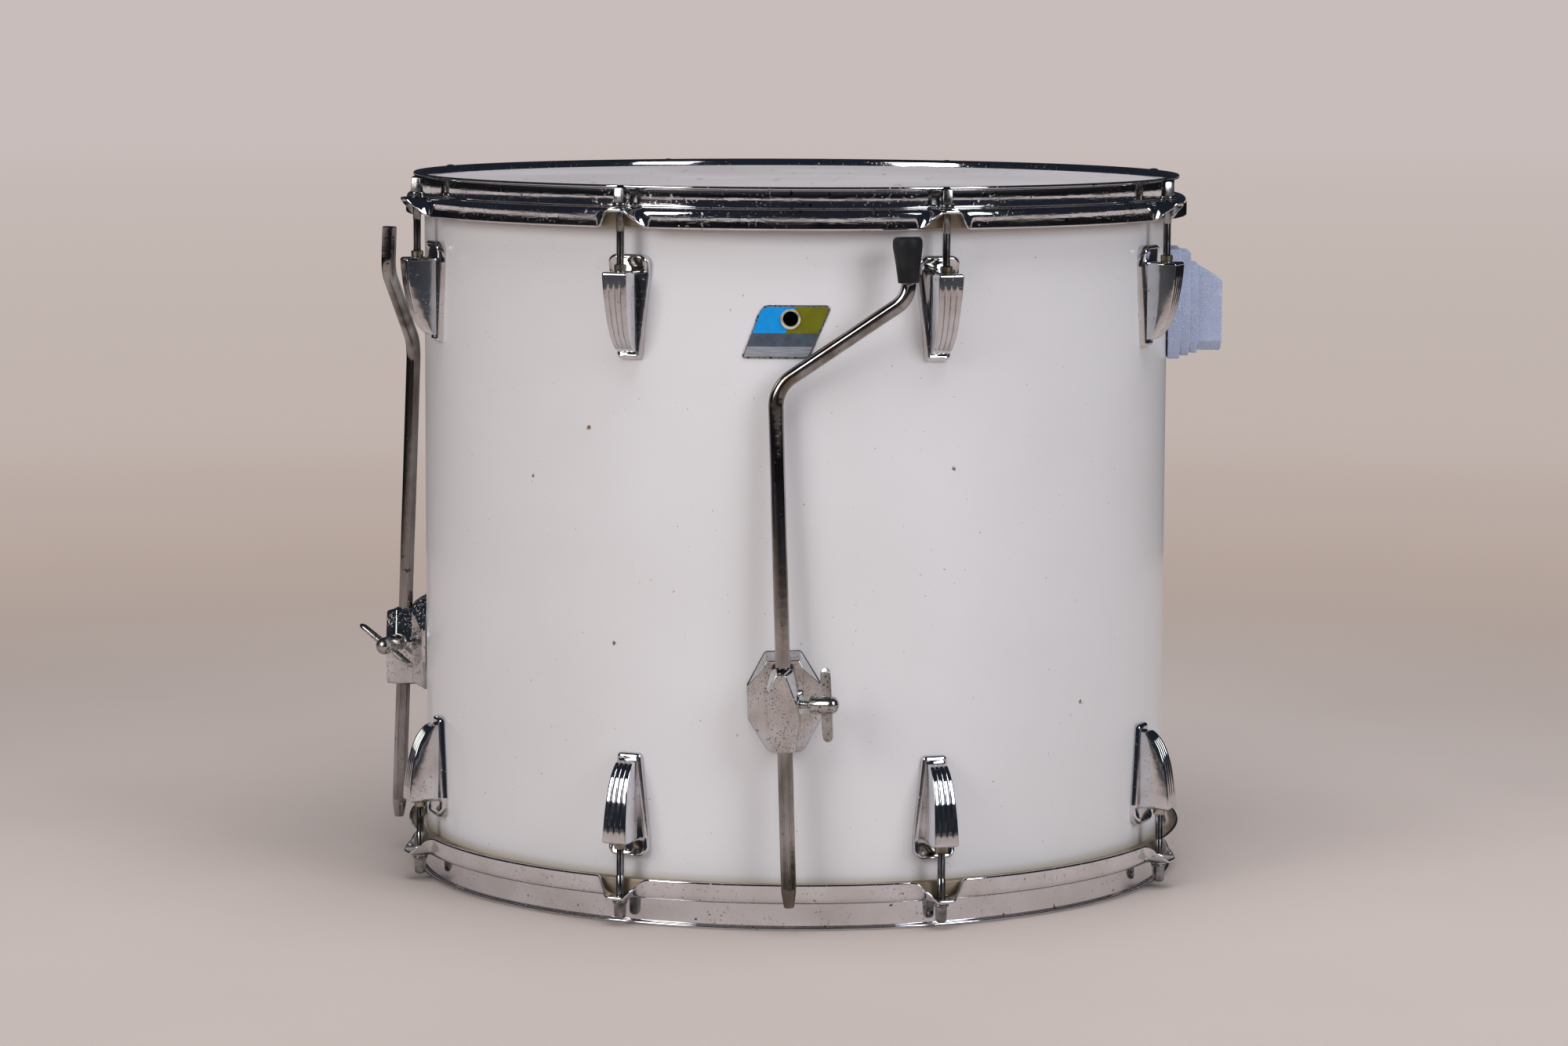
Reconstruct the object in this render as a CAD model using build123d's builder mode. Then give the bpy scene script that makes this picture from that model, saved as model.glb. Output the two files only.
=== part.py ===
from build123d import *
import os
from math import atan2, cos, degrees, radians, sin, sqrt, tan

# ---------------------------------------------------------------------------
# A 20 x 18 inch tom tom with a white-wrapped wooden shell, two tensioned heads,
# eight lugs at each end, three clamped legs stored crank end up, and a cast
# block for a tom arm.  Millimetres.  +Z is up, -Y is the badge side, and the
# origin is on the drum's axis at the level of the lower rim.
# ---------------------------------------------------------------------------

# --- driving sizes: shell and heads
shell_diameter = 502.0        # over the wrap
shell_length = 457.2
shell_wall = 6.0
wrap_thickness = 0.5
wrap_setback = 3.0            # the wrap stops short of each bearing edge
ring_height = 25.4            # reinforcement ring glued inside each end
ring_wall = 6.0
edge_round = 1.5              # outer cut of the bearing edge
film = 0.3                    # drum head film
lower_rim_clearance = 6.7     # lower film above the surface the rim stands on
upper_rim_clearance = 4.5     # upper film below the upper rim

# --- driving sizes: hoops
hoop_steel = 2.0
hoop_shell_gap = 2.0          # shell wrap to the inside of the hoop collar
rim_flange = 3.5              # how far the rim is folded outwards
upper_collar = 13.4           # rim to the shoulder of the batter hoop
lower_collar = 17.3           # the same on the resonant hoop
skirt_depth = 10.8            # shoulder to the skirt's edge
skirt_gap = 0.8               # flesh hoop to the inside of the skirt
flesh_hoop_width = 6.8
flesh_hoop_height = 10.6
flesh_wall = 2.0
flesh_hoop_gap = 1.5          # collar line to the flesh hoop
ear_reach = 10.4              # from the rod's axis to the ear's outer edge
ear_width = 16.0
ear_arch = 37.5               # width of the arch in the skirt, at its edge
ear_corner = 4.5

# --- driving sizes: tension rods and lugs
lug_count = 8
rod_circle_gap = 15.1         # shell wrap to the rod's axis
rod_radius = 2.75
rod_hole_clearance = 0.45
rod_running_clearance = 0.05
rod_flange_radius = 4.9
rod_flange_height = 1.8
rod_head_square = 6.4
rod_head_height = 10.4
rod_head_taper = 1.5
rod_head_chamfer = 1.2
rod_washer_radius = 5.4
rod_washer_thickness = 1.2
rod_end_below_lug_mouth = 32.0
lug_plate_length = 66.7
lug_plate_from_rim = 42.7
lug_mouth_from_rim = 53.6
lug_wide = 28.0               # plate width at the hoop end
lug_narrow = 16.2             # plate width at the far end
lug_plate_thickness = 3.6
lug_plate_corner = 4.0
lug_box_wide = 17.2
lug_box_narrow = 12.4
lug_box_reach = 24.7          # shell wrap to the box's front at its mouth
lug_box_short = 5.0           # the plate runs on past the box
lug_end_reach = 8.5           # shell wrap to the box's front at its far end
lug_front_curve = ((8.4, 16.5), (24.0, 21.7))  # (above the far end, reach)
lug_wall = 2.2
lug_cavity_depth = 24.0
rod_room = 2.0                # the blind bore goes this far past the rod's end
nut_radius = 4.0
nut_collar_radius = 5.4
nut_stand_out = 4.5
nut_length = 24.0
nut_collar_thickness = 3.0
nut_play = 0.2                # each side, between the collar and the cavity
nut_collar_gap = 1.0          # lug wall to the nut's collar
screw_radius = 2.1
screw_clearance = 0.3
screw_head_radius = 4.2
screw_head_height = 2.6
screw_head_taper = 18.0
screw_washer_radius = 5.5
screw_washer_thickness = 1.0
screw_slot = 1.0
lug_screw_upper = 6.6         # below the lug plate's hoop end
lug_screw_pitch = 46.0
lug_screw_depth = 6.0         # thread in the box, past the wrap

# --- driving sizes: badge and vent
badge_width = 45.0
badge_height = 33.0
badge_thickness = 0.7
badge_lean = 10.5             # sideways run of the slanted ends
badge_small_cut = 3.0         # cut corners at the foot and at the upper right
badge_large_cut = (4.5, 3.4)  # the broad corner at the upper left
badge_side_cut = 1.5
badge_centre_z = 378.6
badge_angle = 0.5
vent_z = 386.6
vent_angle = -90.0 + 1.14
vent_hole_radius = 5.4
grommet_bore_radius = 4.8
grommet_flange_radius = 6.4
grommet_flange = 0.8

# --- driving sizes: leg brackets and legs
bracket_z = 146.3
bracket_width = 47.0
bracket_height = 64.0
bracket_flange = 6.3
bracket_dome = 4.0
bracket_body_width = 20.4
bracket_body_height = 54.0
bracket_side_flat = 22.0      # the octagon's two long sides
bracket_end_flat = 23.0       # and its two ends
bracket_edge_share = 0.4      # how much of the flange stands square
dome_inset = (15.0, 12.0)     # the dome's flat is this much narrower and shorter
dome_flats = (20.0, 12.0)     # its long side and its end
body_flats = (22.0, 13.0)
body_edge_round = 2.0
bracket_reach = 28.6          # shell wrap to the body's outer face
leg_axis_gap = 16.8           # shell wrap to the leg's axis
leg_radius = 4.76
leg_clearance = 0.15
leg_splay = 2.1               # the bore leans in towards the top
leg_below_clamp = 128.8
leg_first_corner = 198.2
leg_offset = 85.0
leg_turn = 6.0                # the crank is turned a little away from the shell
leg_second_corner = 252.2
leg_top = 281.7
leg_bend_radius = 22.0
leg_bend_lead = 2.0           # straight rod below the first bend, part of the crank
crank_bend_radius = 17.0
leg_taper_length = 10.5
leg_tip_radius = 3.3
tip_length = 28.6
tip_top_radius = 9.3
tip_end_radius = 6.5
tip_cover = 8.5               # rubber beyond the rod's end
tip_collar = 7.15             # straight part at the foot's wide end
tip_crown = 3.0               # rounding of its wide end
bolt_angle = 19.0             # the clamp bolt slants away from the shell
bolt_stud_radius = 3.0
bolt_bore_clearance = 0.08
bolt_barrel_radius = 5.75
bolt_barrel_start = 18.6
bolt_barrel_length = 18.0
bolt_bar_at = 28.6
bolt_bar_reach = 23.5
bolt_bar_width = 7.2
bolt_bar_thickness = 3.2
bolt_bar_corner = 1.5
bolt_dome_share = 0.75        # the barrel's end is rounded by this share of its radius
bolt_leg_gap = 0.3
boss_radius = 6.4
boss_reach = 12.8
bracket_screw_inset = 9.0
bracket_screw_depth = 5.5
bracket_screw_drop = 18.0
bracket_screw_spread = 15.0

# --- driving sizes: tom arm block
block_bottom_z = 345.9
block_height = 73.5
block_steps = (8.6, 6.3, 5.6, 15.8)      # thickness of each cast step
block_half_widths = (28.0, 26.0, 24.0, 21.0)
block_drops = (0.0, 2.0, 10.3, 12.4)     # how far each step's top stands down
block_rises = (0.0, 2.1, 3.8, 5.6)       # how far each step's bottom stands up
block_slope_start = 1.5       # from the outer step's back to its sloping top
block_slope_fall = 8.5
arm_bore_radius = 6.5
arm_axis_gap = 25.0           # shell wrap to the arm's axis
block_bolt_z = 380.0
block_bolt_start = 24.0
block_screw_inset = 14.0
block_screw_depth = 7.0
block_screw_spread = 16.0

# --- where the pieces stand round the shell, in degrees from +X
lug_first_angle = 180.0 / lug_count
front_bracket_angle = -90.0 + badge_angle
left_bracket_angle = 180.0
rear_bracket_angle = 45.0
front_bracket_tilt = 1.8      # turned a little on its screws
left_leg_slide = 6.5          # clamped a little higher than the others
front_bolt_turn = 2.3
left_bolt_turn = 57.0
rear_bolt_turn = 20.0

# --- worked out from the driving sizes
shell_radius = shell_diameter / 2
wood_radius = shell_radius - wrap_thickness
inner_radius = wood_radius - shell_wall
lower_edge_z = lower_rim_clearance + film
upper_edge_z = lower_edge_z + shell_length
height = upper_edge_z + film + upper_rim_clearance
collar_inner = shell_radius + hoop_shell_gap
collar_outer = collar_inner + hoop_steel
rim_radius = collar_outer + rim_flange
flesh_inner = shell_radius + hoop_shell_gap + flesh_hoop_gap
flesh_outer = flesh_inner + flesh_hoop_width
skirt_inner = flesh_outer + skirt_gap
skirt_outer = skirt_inner + hoop_steel
rod_circle = shell_radius + rod_circle_gap
ear_outer = rod_circle + ear_reach
leg_circle = shell_radius + leg_axis_gap
arm_circle = shell_radius + arm_axis_gap
block_outer = shell_radius + sum(block_steps)
edge_peak = wood_radius - edge_round
crank_slope = atan2(leg_offset, leg_second_corner - leg_first_corner)
leg_shank_top = leg_first_corner - leg_bend_radius * tan(crank_slope / 2) - leg_bend_lead

os.makedirs("parts", exist_ok=True)


def radial_plane(distance, angle=0.0, z=0.0, tilt=0.0):
    """A plane square to the radius at an angle; its x runs round the shell, its y up."""
    a, t = radians(angle), radians(tilt)
    return Plane(
        origin=(distance * cos(a), distance * sin(a), z),
        x_dir=(-sin(a) * cos(t), cos(a) * cos(t), sin(t)),
        z_dir=(cos(a), sin(a), 0),
    )


def turned(plane, degrees):
    """The same plane turned about its own normal."""
    t = radians(degrees)
    across = plane.x_dir * cos(t) + plane.y_dir * sin(t)
    return Plane(origin=plane.origin, x_dir=across, z_dir=plane.z_dir)


def save(piece, name):
    """Label a finished piece and write it as its own STEP file."""
    piece.label = name
    export_step(piece, f"parts/{name}.step")


def seat(distance, half_width):
    """The radius at which a flat disc touches the inside of a round wall."""
    return sqrt(distance**2 - half_width**2)


# ---------------------------------------------------------------------------
# Screws: one radial pan-head screw and its washer, pointing outwards at +X
# ---------------------------------------------------------------------------
washer_outer_face = seat(inner_radius, screw_washer_radius)
screw_head_seat = washer_outer_face - screw_washer_thickness


def radial_screw(tip_distance, z, angle=0.0):
    """A machine screw from inside the shell, its tip at tip_distance from the axis."""
    with BuildPart() as screw:
        with BuildSketch(radial_plane(screw_head_seat, angle, z)):
            Circle(screw_head_radius)
        extrude(amount=-screw_head_height, taper=screw_head_taper)
        with BuildSketch(radial_plane(screw_head_seat, angle, z)):
            Circle(screw_radius)
        extrude(amount=tip_distance - screw_head_seat)
        with BuildSketch(radial_plane(screw_head_seat - screw_head_height, angle, z)):
            Rectangle(screw_slot, 2 * screw_head_radius)
        extrude(amount=screw_slot, mode=Mode.SUBTRACT)
    return screw.part


def radial_washer(z, angle=0.0):
    """The flat washer under a radial screw's head."""
    with BuildPart() as washer:
        with BuildSketch(radial_plane(screw_head_seat, angle, z)):
            Circle(screw_washer_radius)
            Circle(screw_radius + screw_clearance, mode=Mode.SUBTRACT)
        extrude(amount=screw_washer_thickness)
    return washer.part


def radial_cutter(radius, z, angle=0.0):
    """A round drill that passes out through the shell wall."""
    with BuildPart() as cutter:
        with BuildSketch(radial_plane(inner_radius - 20, angle, z)):
            Circle(radius)
        extrude(amount=shell_wall + wrap_thickness + 30)
    return cutter.part


def round_shell(distance):
    """The angle, in degrees, of a distance measured round the shell."""
    return degrees(distance / shell_radius)


# screw positions, as (height, angle to one side)
upper_plate_end = height - lug_plate_from_rim
lower_plate_end = lug_plate_from_rim
upper_lug_screws = (
    upper_plate_end - lug_screw_upper,
    upper_plate_end - lug_screw_upper - lug_screw_pitch,
)
lower_lug_screws = (
    lower_plate_end + lug_screw_upper,
    lower_plate_end + lug_screw_upper + lug_screw_pitch,
)
bracket_screws_at = (
    (bracket_z + bracket_height / 2 - bracket_screw_inset, 0.0),
    (bracket_z - bracket_screw_drop, round_shell(bracket_screw_spread)),
    (bracket_z - bracket_screw_drop, -round_shell(bracket_screw_spread)),
)
block_screws_at = tuple(
    (z, side * round_shell(block_screw_spread))
    for z in (
        block_bottom_z + block_screw_inset,
        block_bottom_z + block_height - block_screw_inset,
    )
    for side in (1, -1)
)
bracket_angles = (front_bracket_angle, left_bracket_angle, rear_bracket_angle)


# ---------------------------------------------------------------------------
# Shell, wrap and reinforcement rings
# ---------------------------------------------------------------------------
def drill_shell():
    """Cut every screw hole and the vent into the part being built."""
    hole = screw_radius + screw_clearance
    for z in upper_lug_screws + lower_lug_screws:
        with PolarLocations(0, lug_count, start_angle=lug_first_angle):
            add(radial_cutter(hole, z), mode=Mode.SUBTRACT)
    for angle in bracket_angles:
        for z, aside in bracket_screws_at:
            add(radial_cutter(hole, z, angle + aside), mode=Mode.SUBTRACT)
    for z, aside in block_screws_at:
        add(radial_cutter(hole, z, aside), mode=Mode.SUBTRACT)
    add(radial_cutter(vent_hole_radius, vent_z, vent_angle), mode=Mode.SUBTRACT)


with BuildPart() as shell:
    with BuildSketch(Plane.XZ):
        with BuildLine():
            Polyline(
                (edge_peak, lower_edge_z),
                (wood_radius, lower_edge_z + edge_round),
                (wood_radius, upper_edge_z - edge_round),
                (edge_peak, upper_edge_z),
                (inner_radius, upper_edge_z - (edge_peak - inner_radius)),
                (inner_radius, lower_edge_z + (edge_peak - inner_radius)),
                close=True,
            )
        make_face()
    revolve(axis=Axis.Z)
    drill_shell()
save(shell.part, "shell")

with BuildPart() as wrap:
    with BuildSketch(Plane.XY.offset(lower_edge_z + wrap_setback)):
        Circle(shell_radius)
        Circle(wood_radius, mode=Mode.SUBTRACT)
    extrude(amount=shell_length - 2 * wrap_setback)
    drill_shell()
save(wrap.part, "shell_wrap")

for name, edge_z, up in (
    ("upper_reinforcement_ring", upper_edge_z, 1),
    ("lower_reinforcement_ring", lower_edge_z, -1),
):
    ring_inner = inner_radius - ring_wall
    with BuildPart() as ring:
        with BuildSketch(Plane.XZ):
            with BuildLine():
                Polyline(
                    (inner_radius, edge_z - up * (edge_peak - inner_radius)),
                    (ring_inner, edge_z - up * (edge_peak - ring_inner)),
                    (ring_inner, edge_z - up * ring_height),
                    (inner_radius, edge_z - up * ring_height),
                    close=True,
                )
            make_face()
        revolve(axis=Axis.Z)
    save(ring.part, name)


# ---------------------------------------------------------------------------
# Heads: a film drawn over the bearing edge and held in a flesh hoop
# ---------------------------------------------------------------------------
def head_and_flesh_hoop(edge_z, up, collar):
    """The film and the aluminium hoop that grips it, at one end of the shell."""
    rim_z = edge_z + up * (film + (upper_rim_clearance if up > 0 else lower_rim_clearance))
    flesh_top = rim_z - up * (collar + hoop_steel)
    grip_z = flesh_top - up * flesh_hoop_height / 2
    fall = shell_radius + film  # the film hangs just clear of the wrap
    with BuildPart() as head:
        with BuildSketch(Plane.XZ):
            with BuildLine():
                Polyline(
                    (0, edge_z),
                    (edge_peak, edge_z),
                    (wood_radius, edge_z - up * edge_round),
                    (fall, edge_z - up * wrap_setback),
                    (fall, grip_z),
                    (flesh_outer - flesh_wall, grip_z),
                    (flesh_outer - flesh_wall, grip_z + up * film),
                    (fall + film, grip_z + up * film),
                    (fall + film, edge_z - up * (wrap_setback - film / 2)),
                    (wood_radius + film, edge_z - up * (edge_round - film / 2)),
                    (edge_peak + film / 2, edge_z + up * film),
                    (0, edge_z + up * film),
                    close=True,
                )
            make_face()
        revolve(axis=Axis.Z)
    low, high = sorted((flesh_top, flesh_top - up * flesh_hoop_height))
    slot_low = min(grip_z, grip_z + up * film)
    with BuildPart() as flesh:
        with BuildSketch(Plane.XY.offset(low)):
            Circle(flesh_outer)
            Circle(flesh_inner, mode=Mode.SUBTRACT)
        extrude(amount=high - low)
        with BuildSketch(Plane.XY.offset(slot_low)):
            Circle(flesh_outer - flesh_wall)
            Circle(flesh_inner - 1, mode=Mode.SUBTRACT)
        extrude(amount=film, mode=Mode.SUBTRACT)
    return head.part, flesh.part


batter_head, batter_flesh = head_and_flesh_hoop(upper_edge_z, 1, upper_collar)
save(batter_head, "batter_head")
save(batter_flesh, "batter_flesh_hoop")
resonant_head, resonant_flesh = head_and_flesh_hoop(lower_edge_z, -1, lower_collar)
save(resonant_head, "resonant_head")
save(resonant_flesh, "resonant_flesh_hoop")


# ---------------------------------------------------------------------------
# Hoops: triple-flanged pressed steel, with an ear for each rod
# ---------------------------------------------------------------------------
def pressed_hoop(rim_z, up, collar):
    """Rim, collar, shoulder and skirt, with the skirt arched away at each ear."""
    def at(drop):
        return rim_z - up * drop

    shoulder = collar + hoop_steel
    skirt = collar + skirt_depth
    with BuildPart() as ear:
        with BuildSketch(Plane.XY.offset(min(at(collar), at(shoulder)))):
            with Locations(((collar_outer + ear_outer) / 2, 0)):
                RectangleRounded(ear_outer - collar_outer, ear_width, ear_corner)
            with Locations(((collar_outer + skirt_outer) / 2, 0)):
                Rectangle(skirt_outer - collar_outer, ear_width)
        extrude(amount=hoop_steel)
    with BuildPart() as arch:
        with BuildSketch(radial_plane(flesh_outer + 0.1)):
            with BuildLine():
                Polyline(
                    (-ear_width / 2, at(shoulder)),
                    (ear_width / 2, at(shoulder)),
                    (ear_arch / 2, at(skirt + 1)),
                    (-ear_arch / 2, at(skirt + 1)),
                    close=True,
                )
            make_face()
        extrude(amount=ear_outer - flesh_outer)
    with BuildPart() as rod_hole:
        with BuildSketch(Plane.XY.offset(min(at(collar), at(shoulder)) - 1)):
            with Locations((rod_circle, 0)):
                Circle(rod_radius + rod_hole_clearance)
        extrude(amount=hoop_steel + 2)
    with BuildPart() as hoop:
        with BuildSketch(Plane.XZ):
            with BuildLine():
                Polyline(
                    (collar_inner, at(0)),
                    (rim_radius, at(0)),
                    (rim_radius, at(hoop_steel)),
                    (collar_outer, at(hoop_steel)),
                    (collar_outer, at(collar)),
                    (skirt_outer, at(collar)),
                    (skirt_outer, at(skirt)),
                    (skirt_inner, at(skirt)),
                    (skirt_inner, at(shoulder)),
                    (collar_inner, at(shoulder)),
                    close=True,
                )
            make_face()
        revolve(axis=Axis.Z)
        with PolarLocations(0, lug_count, start_angle=lug_first_angle):
            add(arch.part, mode=Mode.SUBTRACT)
            add(ear.part)
            add(rod_hole.part, mode=Mode.SUBTRACT)
    return hoop.part


save(pressed_hoop(height, 1, upper_collar), "top_hoop")
save(pressed_hoop(0.0, -1, lower_collar), "bottom_hoop")


# ---------------------------------------------------------------------------
# Lugs, with the swivel nut, its spring and the rod that turns in it
# ---------------------------------------------------------------------------
def lug_pieces(rim_z, up, collar):
    """One lug, nut, spring, rod and rod washer, at +X, for one end of the drum."""
    def at(drop):
        return rim_z - up * drop

    plate_end = lug_plate_from_rim + lug_plate_length
    mouth = lug_mouth_from_rim
    front = shell_radius + lug_box_reach
    box_end = plate_end - lug_box_short
    cavity_end = mouth + lug_cavity_depth
    rod_end = mouth + rod_end_below_lug_mouth
    with BuildPart() as lug:
        # base plate, wide at the hoop end
        with BuildSketch(radial_plane(shell_radius - 3)):
            with BuildLine():
                Polyline(
                    (-lug_narrow / 2, at(plate_end)),
                    (lug_narrow / 2, at(plate_end)),
                    (lug_wide / 2, at(mouth)),
                    (lug_wide / 2, at(lug_plate_from_rim + lug_plate_corner)),
                    (lug_wide / 2 - lug_plate_corner, at(lug_plate_from_rim)),
                    (-lug_wide / 2 + lug_plate_corner, at(lug_plate_from_rim)),
                    (-lug_wide / 2, at(lug_plate_from_rim + lug_plate_corner)),
                    (-lug_wide / 2, at(mouth)),
                    close=True,
                )
            make_face()
        extrude(amount=lug_plate_thickness + 3)
        # the box that holds the nut, its front curving back to the plate
        with BuildPart(mode=Mode.PRIVATE) as box:
            with BuildSketch(Plane.XZ):
                with BuildLine():
                    Polyline(
                        (front, at(mouth)),
                        (shell_radius, at(mouth)),
                        (shell_radius, at(box_end)),
                        (shell_radius + lug_end_reach, at(box_end)),
                    )
                    Spline(
                        (shell_radius + lug_end_reach, at(box_end)),
                        *[(shell_radius + r, at(box_end - rise)) for rise, r in lug_front_curve],
                        (front, at(mouth)),
                    )
                make_face()
            extrude(amount=lug_box_wide / 2, both=True)
            with BuildSketch(radial_plane(shell_radius - 5)):
                with BuildLine():
                    Polyline(
                        (-lug_box_narrow / 2, at(box_end)),
                        (lug_box_narrow / 2, at(box_end)),
                        (lug_box_wide / 2, at(mouth)),
                        (-lug_box_wide / 2, at(mouth)),
                        close=True,
                    )
                make_face()
            extrude(amount=lug_box_reach + 10, mode=Mode.INTERSECT)
        add(box.part)
        # the cavity, closed at its mouth but for the nut's hole
        cavity_low, cavity_high = sorted((at(mouth + lug_wall + nut_collar_gap), at(cavity_end)))
        with BuildSketch(Plane.XY.offset(cavity_low)):
            with Locations((rod_circle, 0)):
                Rectangle(2 * (nut_collar_radius + nut_play), lug_box_narrow - lug_wall)
        extrude(amount=cavity_high - cavity_low, mode=Mode.SUBTRACT)
        with BuildSketch(Plane.XY.offset(min(at(mouth), at(mouth + lug_wall + nut_collar_gap)) - 0.5)):
            with Locations((rod_circle, 0)):
                Circle(nut_radius)
        extrude(amount=lug_wall + nut_collar_gap + 1, mode=Mode.SUBTRACT)
        bore_low, bore_high = sorted((at(cavity_end), at(rod_end + rod_room)))
        with BuildSketch(Plane.XY.offset(bore_low)):
            with Locations((rod_circle, 0)):
                Circle(rod_radius + rod_hole_clearance)
        extrude(amount=bore_high - bore_low, mode=Mode.SUBTRACT)
        # seat the back on the wrap
        with BuildSketch(Plane.XY.offset(min(at(plate_end), at(lug_plate_from_rim)) - 5)):
            Circle(shell_radius)
        extrude(amount=lug_plate_length + 10, mode=Mode.SUBTRACT)
        for drop in (
            lug_plate_from_rim + lug_screw_upper,
            lug_plate_from_rim + lug_screw_upper + lug_screw_pitch,
        ):
            depth = lug_plate_thickness if drop < mouth else lug_screw_depth
            with BuildSketch(radial_plane(shell_radius - 2, z=at(drop))):
                Circle(screw_radius)
            extrude(amount=2 + depth, mode=Mode.SUBTRACT)

    nut_top = mouth - nut_stand_out
    collar_at = mouth + lug_wall + nut_collar_gap
    nut_low, nut_high = sorted((at(nut_top), at(nut_top + nut_length)))
    seat_low, seat_high = sorted((at(collar_at), at(collar_at + nut_collar_thickness)))
    with BuildPart() as nut:
        with BuildSketch(Plane.XY.offset(nut_low)):
            with Locations((rod_circle, 0)):
                Circle(nut_radius)
        extrude(amount=nut_high - nut_low)
        with BuildSketch(Plane.XY.offset(seat_low)):
            with Locations((rod_circle, 0)):
                Rectangle(2 * nut_collar_radius, lug_box_narrow - lug_wall - 2 * nut_play)
        extrude(amount=seat_high - seat_low)
        with BuildSketch(Plane.XY.offset(nut_low - 1)):
            with Locations((rod_circle, 0)):
                Circle(rod_radius + rod_running_clearance)
        extrude(amount=nut_high - nut_low + 2, mode=Mode.SUBTRACT)

    ear_face = at(collar)
    washer_face = ear_face + up * rod_washer_thickness
    flange_face = washer_face + up * rod_flange_height
    rod_tip = at(rod_end)
    with BuildPart() as washer:
        with BuildSketch(Plane.XY.offset(min(ear_face, washer_face))):
            with Locations((rod_circle, 0)):
                Circle(rod_washer_radius)
                Circle(rod_radius + rod_hole_clearance, mode=Mode.SUBTRACT)
        extrude(amount=rod_washer_thickness)
    with BuildPart() as rod:
        with BuildSketch(Plane.XY.offset(min(rod_tip, washer_face))):
            with Locations((rod_circle, 0)):
                Circle(rod_radius)
        extrude(amount=abs(washer_face - rod_tip))
        with BuildSketch(Plane.XY.offset(min(washer_face, flange_face))):
            with Locations((rod_circle, 0)):
                Circle(rod_flange_radius)
        extrude(amount=rod_flange_height)
        head_plane = Plane(origin=(rod_circle, 0, flange_face), z_dir=(0, 0, up))
        with BuildSketch(head_plane):
            Rectangle(rod_head_square, rod_head_square)
        extrude(amount=rod_head_height, taper=rod_head_taper)
        chamfer(rod.faces().sort_by(Axis.Z)[-1 if up > 0 else 0].edges(), rod_head_chamfer)
    return lug.part, nut.part, washer.part, rod.part


for end, rim_z, up, collar in (
    ("top", height, 1, upper_collar),
    ("bottom", 0.0, -1, lower_collar),
):
    lug_one, nut_one, washer_one, rod_one = lug_pieces(rim_z, up, collar)
    for name, one in (
        (f"{end}_lugs", lug_one),
        (f"{end}_swivel_nuts", nut_one),
        (f"{end}_rod_washers", washer_one),
    ):
        with BuildPart() as group:
            with PolarLocations(0, lug_count, start_angle=lug_first_angle):
                add(one)
        save(group.part, name)
    for index in range(lug_count):
        turn = lug_first_angle + index * 360 / lug_count
        with BuildPart() as rod:
            with Locations(Location((0, 0, 0), (0, 0, turn))):
                add(rod_one)
        save(rod.part, f"tension_rod_{end}_{index + 1}")

with BuildPart() as lug_screws:
    with PolarLocations(0, lug_count, start_angle=lug_first_angle):
        for z in (upper_lug_screws[0], lower_lug_screws[0]):
            add(radial_screw(shell_radius + lug_plate_thickness, z))
        for z in (upper_lug_screws[1], lower_lug_screws[1]):
            add(radial_screw(shell_radius + lug_screw_depth, z))
save(lug_screws.part, "lug_screws")

with BuildPart() as lug_screw_washers:
    with PolarLocations(0, lug_count, start_angle=lug_first_angle):
        for z in upper_lug_screws + lower_lug_screws:
            add(radial_washer(z))
save(lug_screw_washers.part, "lug_screw_washers")


# ---------------------------------------------------------------------------
# Badge and vent grommet
# ---------------------------------------------------------------------------
with BuildPart() as badge:
    with BuildSketch(Plane.XY.offset(badge_centre_z - badge_height / 2)):
        Circle(shell_radius + badge_thickness)
        Circle(shell_radius, mode=Mode.SUBTRACT)
    extrude(amount=badge_height)
    with BuildSketch(radial_plane(shell_radius - 10, -90 + badge_angle, badge_centre_z)):
        half, lean, tall = badge_width / 2, badge_lean / 2, badge_height / 2
        with BuildLine():
            Polyline(
                (-half - lean + badge_side_cut, -tall),
                (half - lean, -tall),
                (half + lean, tall - badge_small_cut),
                (half + lean - badge_side_cut, tall),
                (-half + lean + badge_large_cut[0], tall),
                (-half + lean - 1, tall - badge_large_cut[1]),
                (-half - lean, -tall + badge_small_cut),
                close=True,
            )
        make_face()
    extrude(amount=20, mode=Mode.INTERSECT)
    add(radial_cutter(vent_hole_radius, vent_z, vent_angle), mode=Mode.SUBTRACT)
save(badge.part, "badge")

with BuildPart() as grommet:
    outer_face = shell_radius + badge_thickness + 0.1
    inner_face = seat(inner_radius, grommet_flange_radius)
    with BuildSketch(radial_plane(inner_face - grommet_flange, vent_angle, vent_z)):
        Circle(grommet_flange_radius)
    extrude(amount=grommet_flange)
    with BuildSketch(radial_plane(inner_face - grommet_flange, vent_angle, vent_z)):
        Circle(vent_hole_radius)
    extrude(amount=outer_face - inner_face + grommet_flange)
    with BuildSketch(radial_plane(outer_face, vent_angle, vent_z)):
        Circle(grommet_flange_radius)
    extrude(amount=grommet_flange)
    with BuildSketch(radial_plane(inner_face - 5, vent_angle, vent_z)):
        Circle(grommet_bore_radius)
    extrude(amount=30, mode=Mode.SUBTRACT)
save(grommet.part, "vent_grommet")


# ---------------------------------------------------------------------------
# Leg brackets, clamp bolts and legs
# ---------------------------------------------------------------------------
def octagon(width, tall, side_flat, end_flat):
    """Half-size corner points of a long octagon, for a Polyline."""
    w, t, s, e = width / 2, tall / 2, side_flat / 2, end_flat / 2
    return [(-e, -t), (e, -t), (w, -s), (w, s), (e, t), (-e, t), (-w, s), (-w, -s)]


def leg_plane(angle, tilt):
    """The leg's own frame: origin at the clamp, z up the leg, x round the shell."""
    leaned = Plane(
        origin=(leg_circle, 0, bracket_z),
        x_dir=(0, 1, 0),
        z_dir=(-tan(radians(leg_splay)), -tan(radians(tilt)), 1),
    )
    return Plane(Location((0, 0, 0), (0, 0, angle)) * leaned.location)


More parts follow.
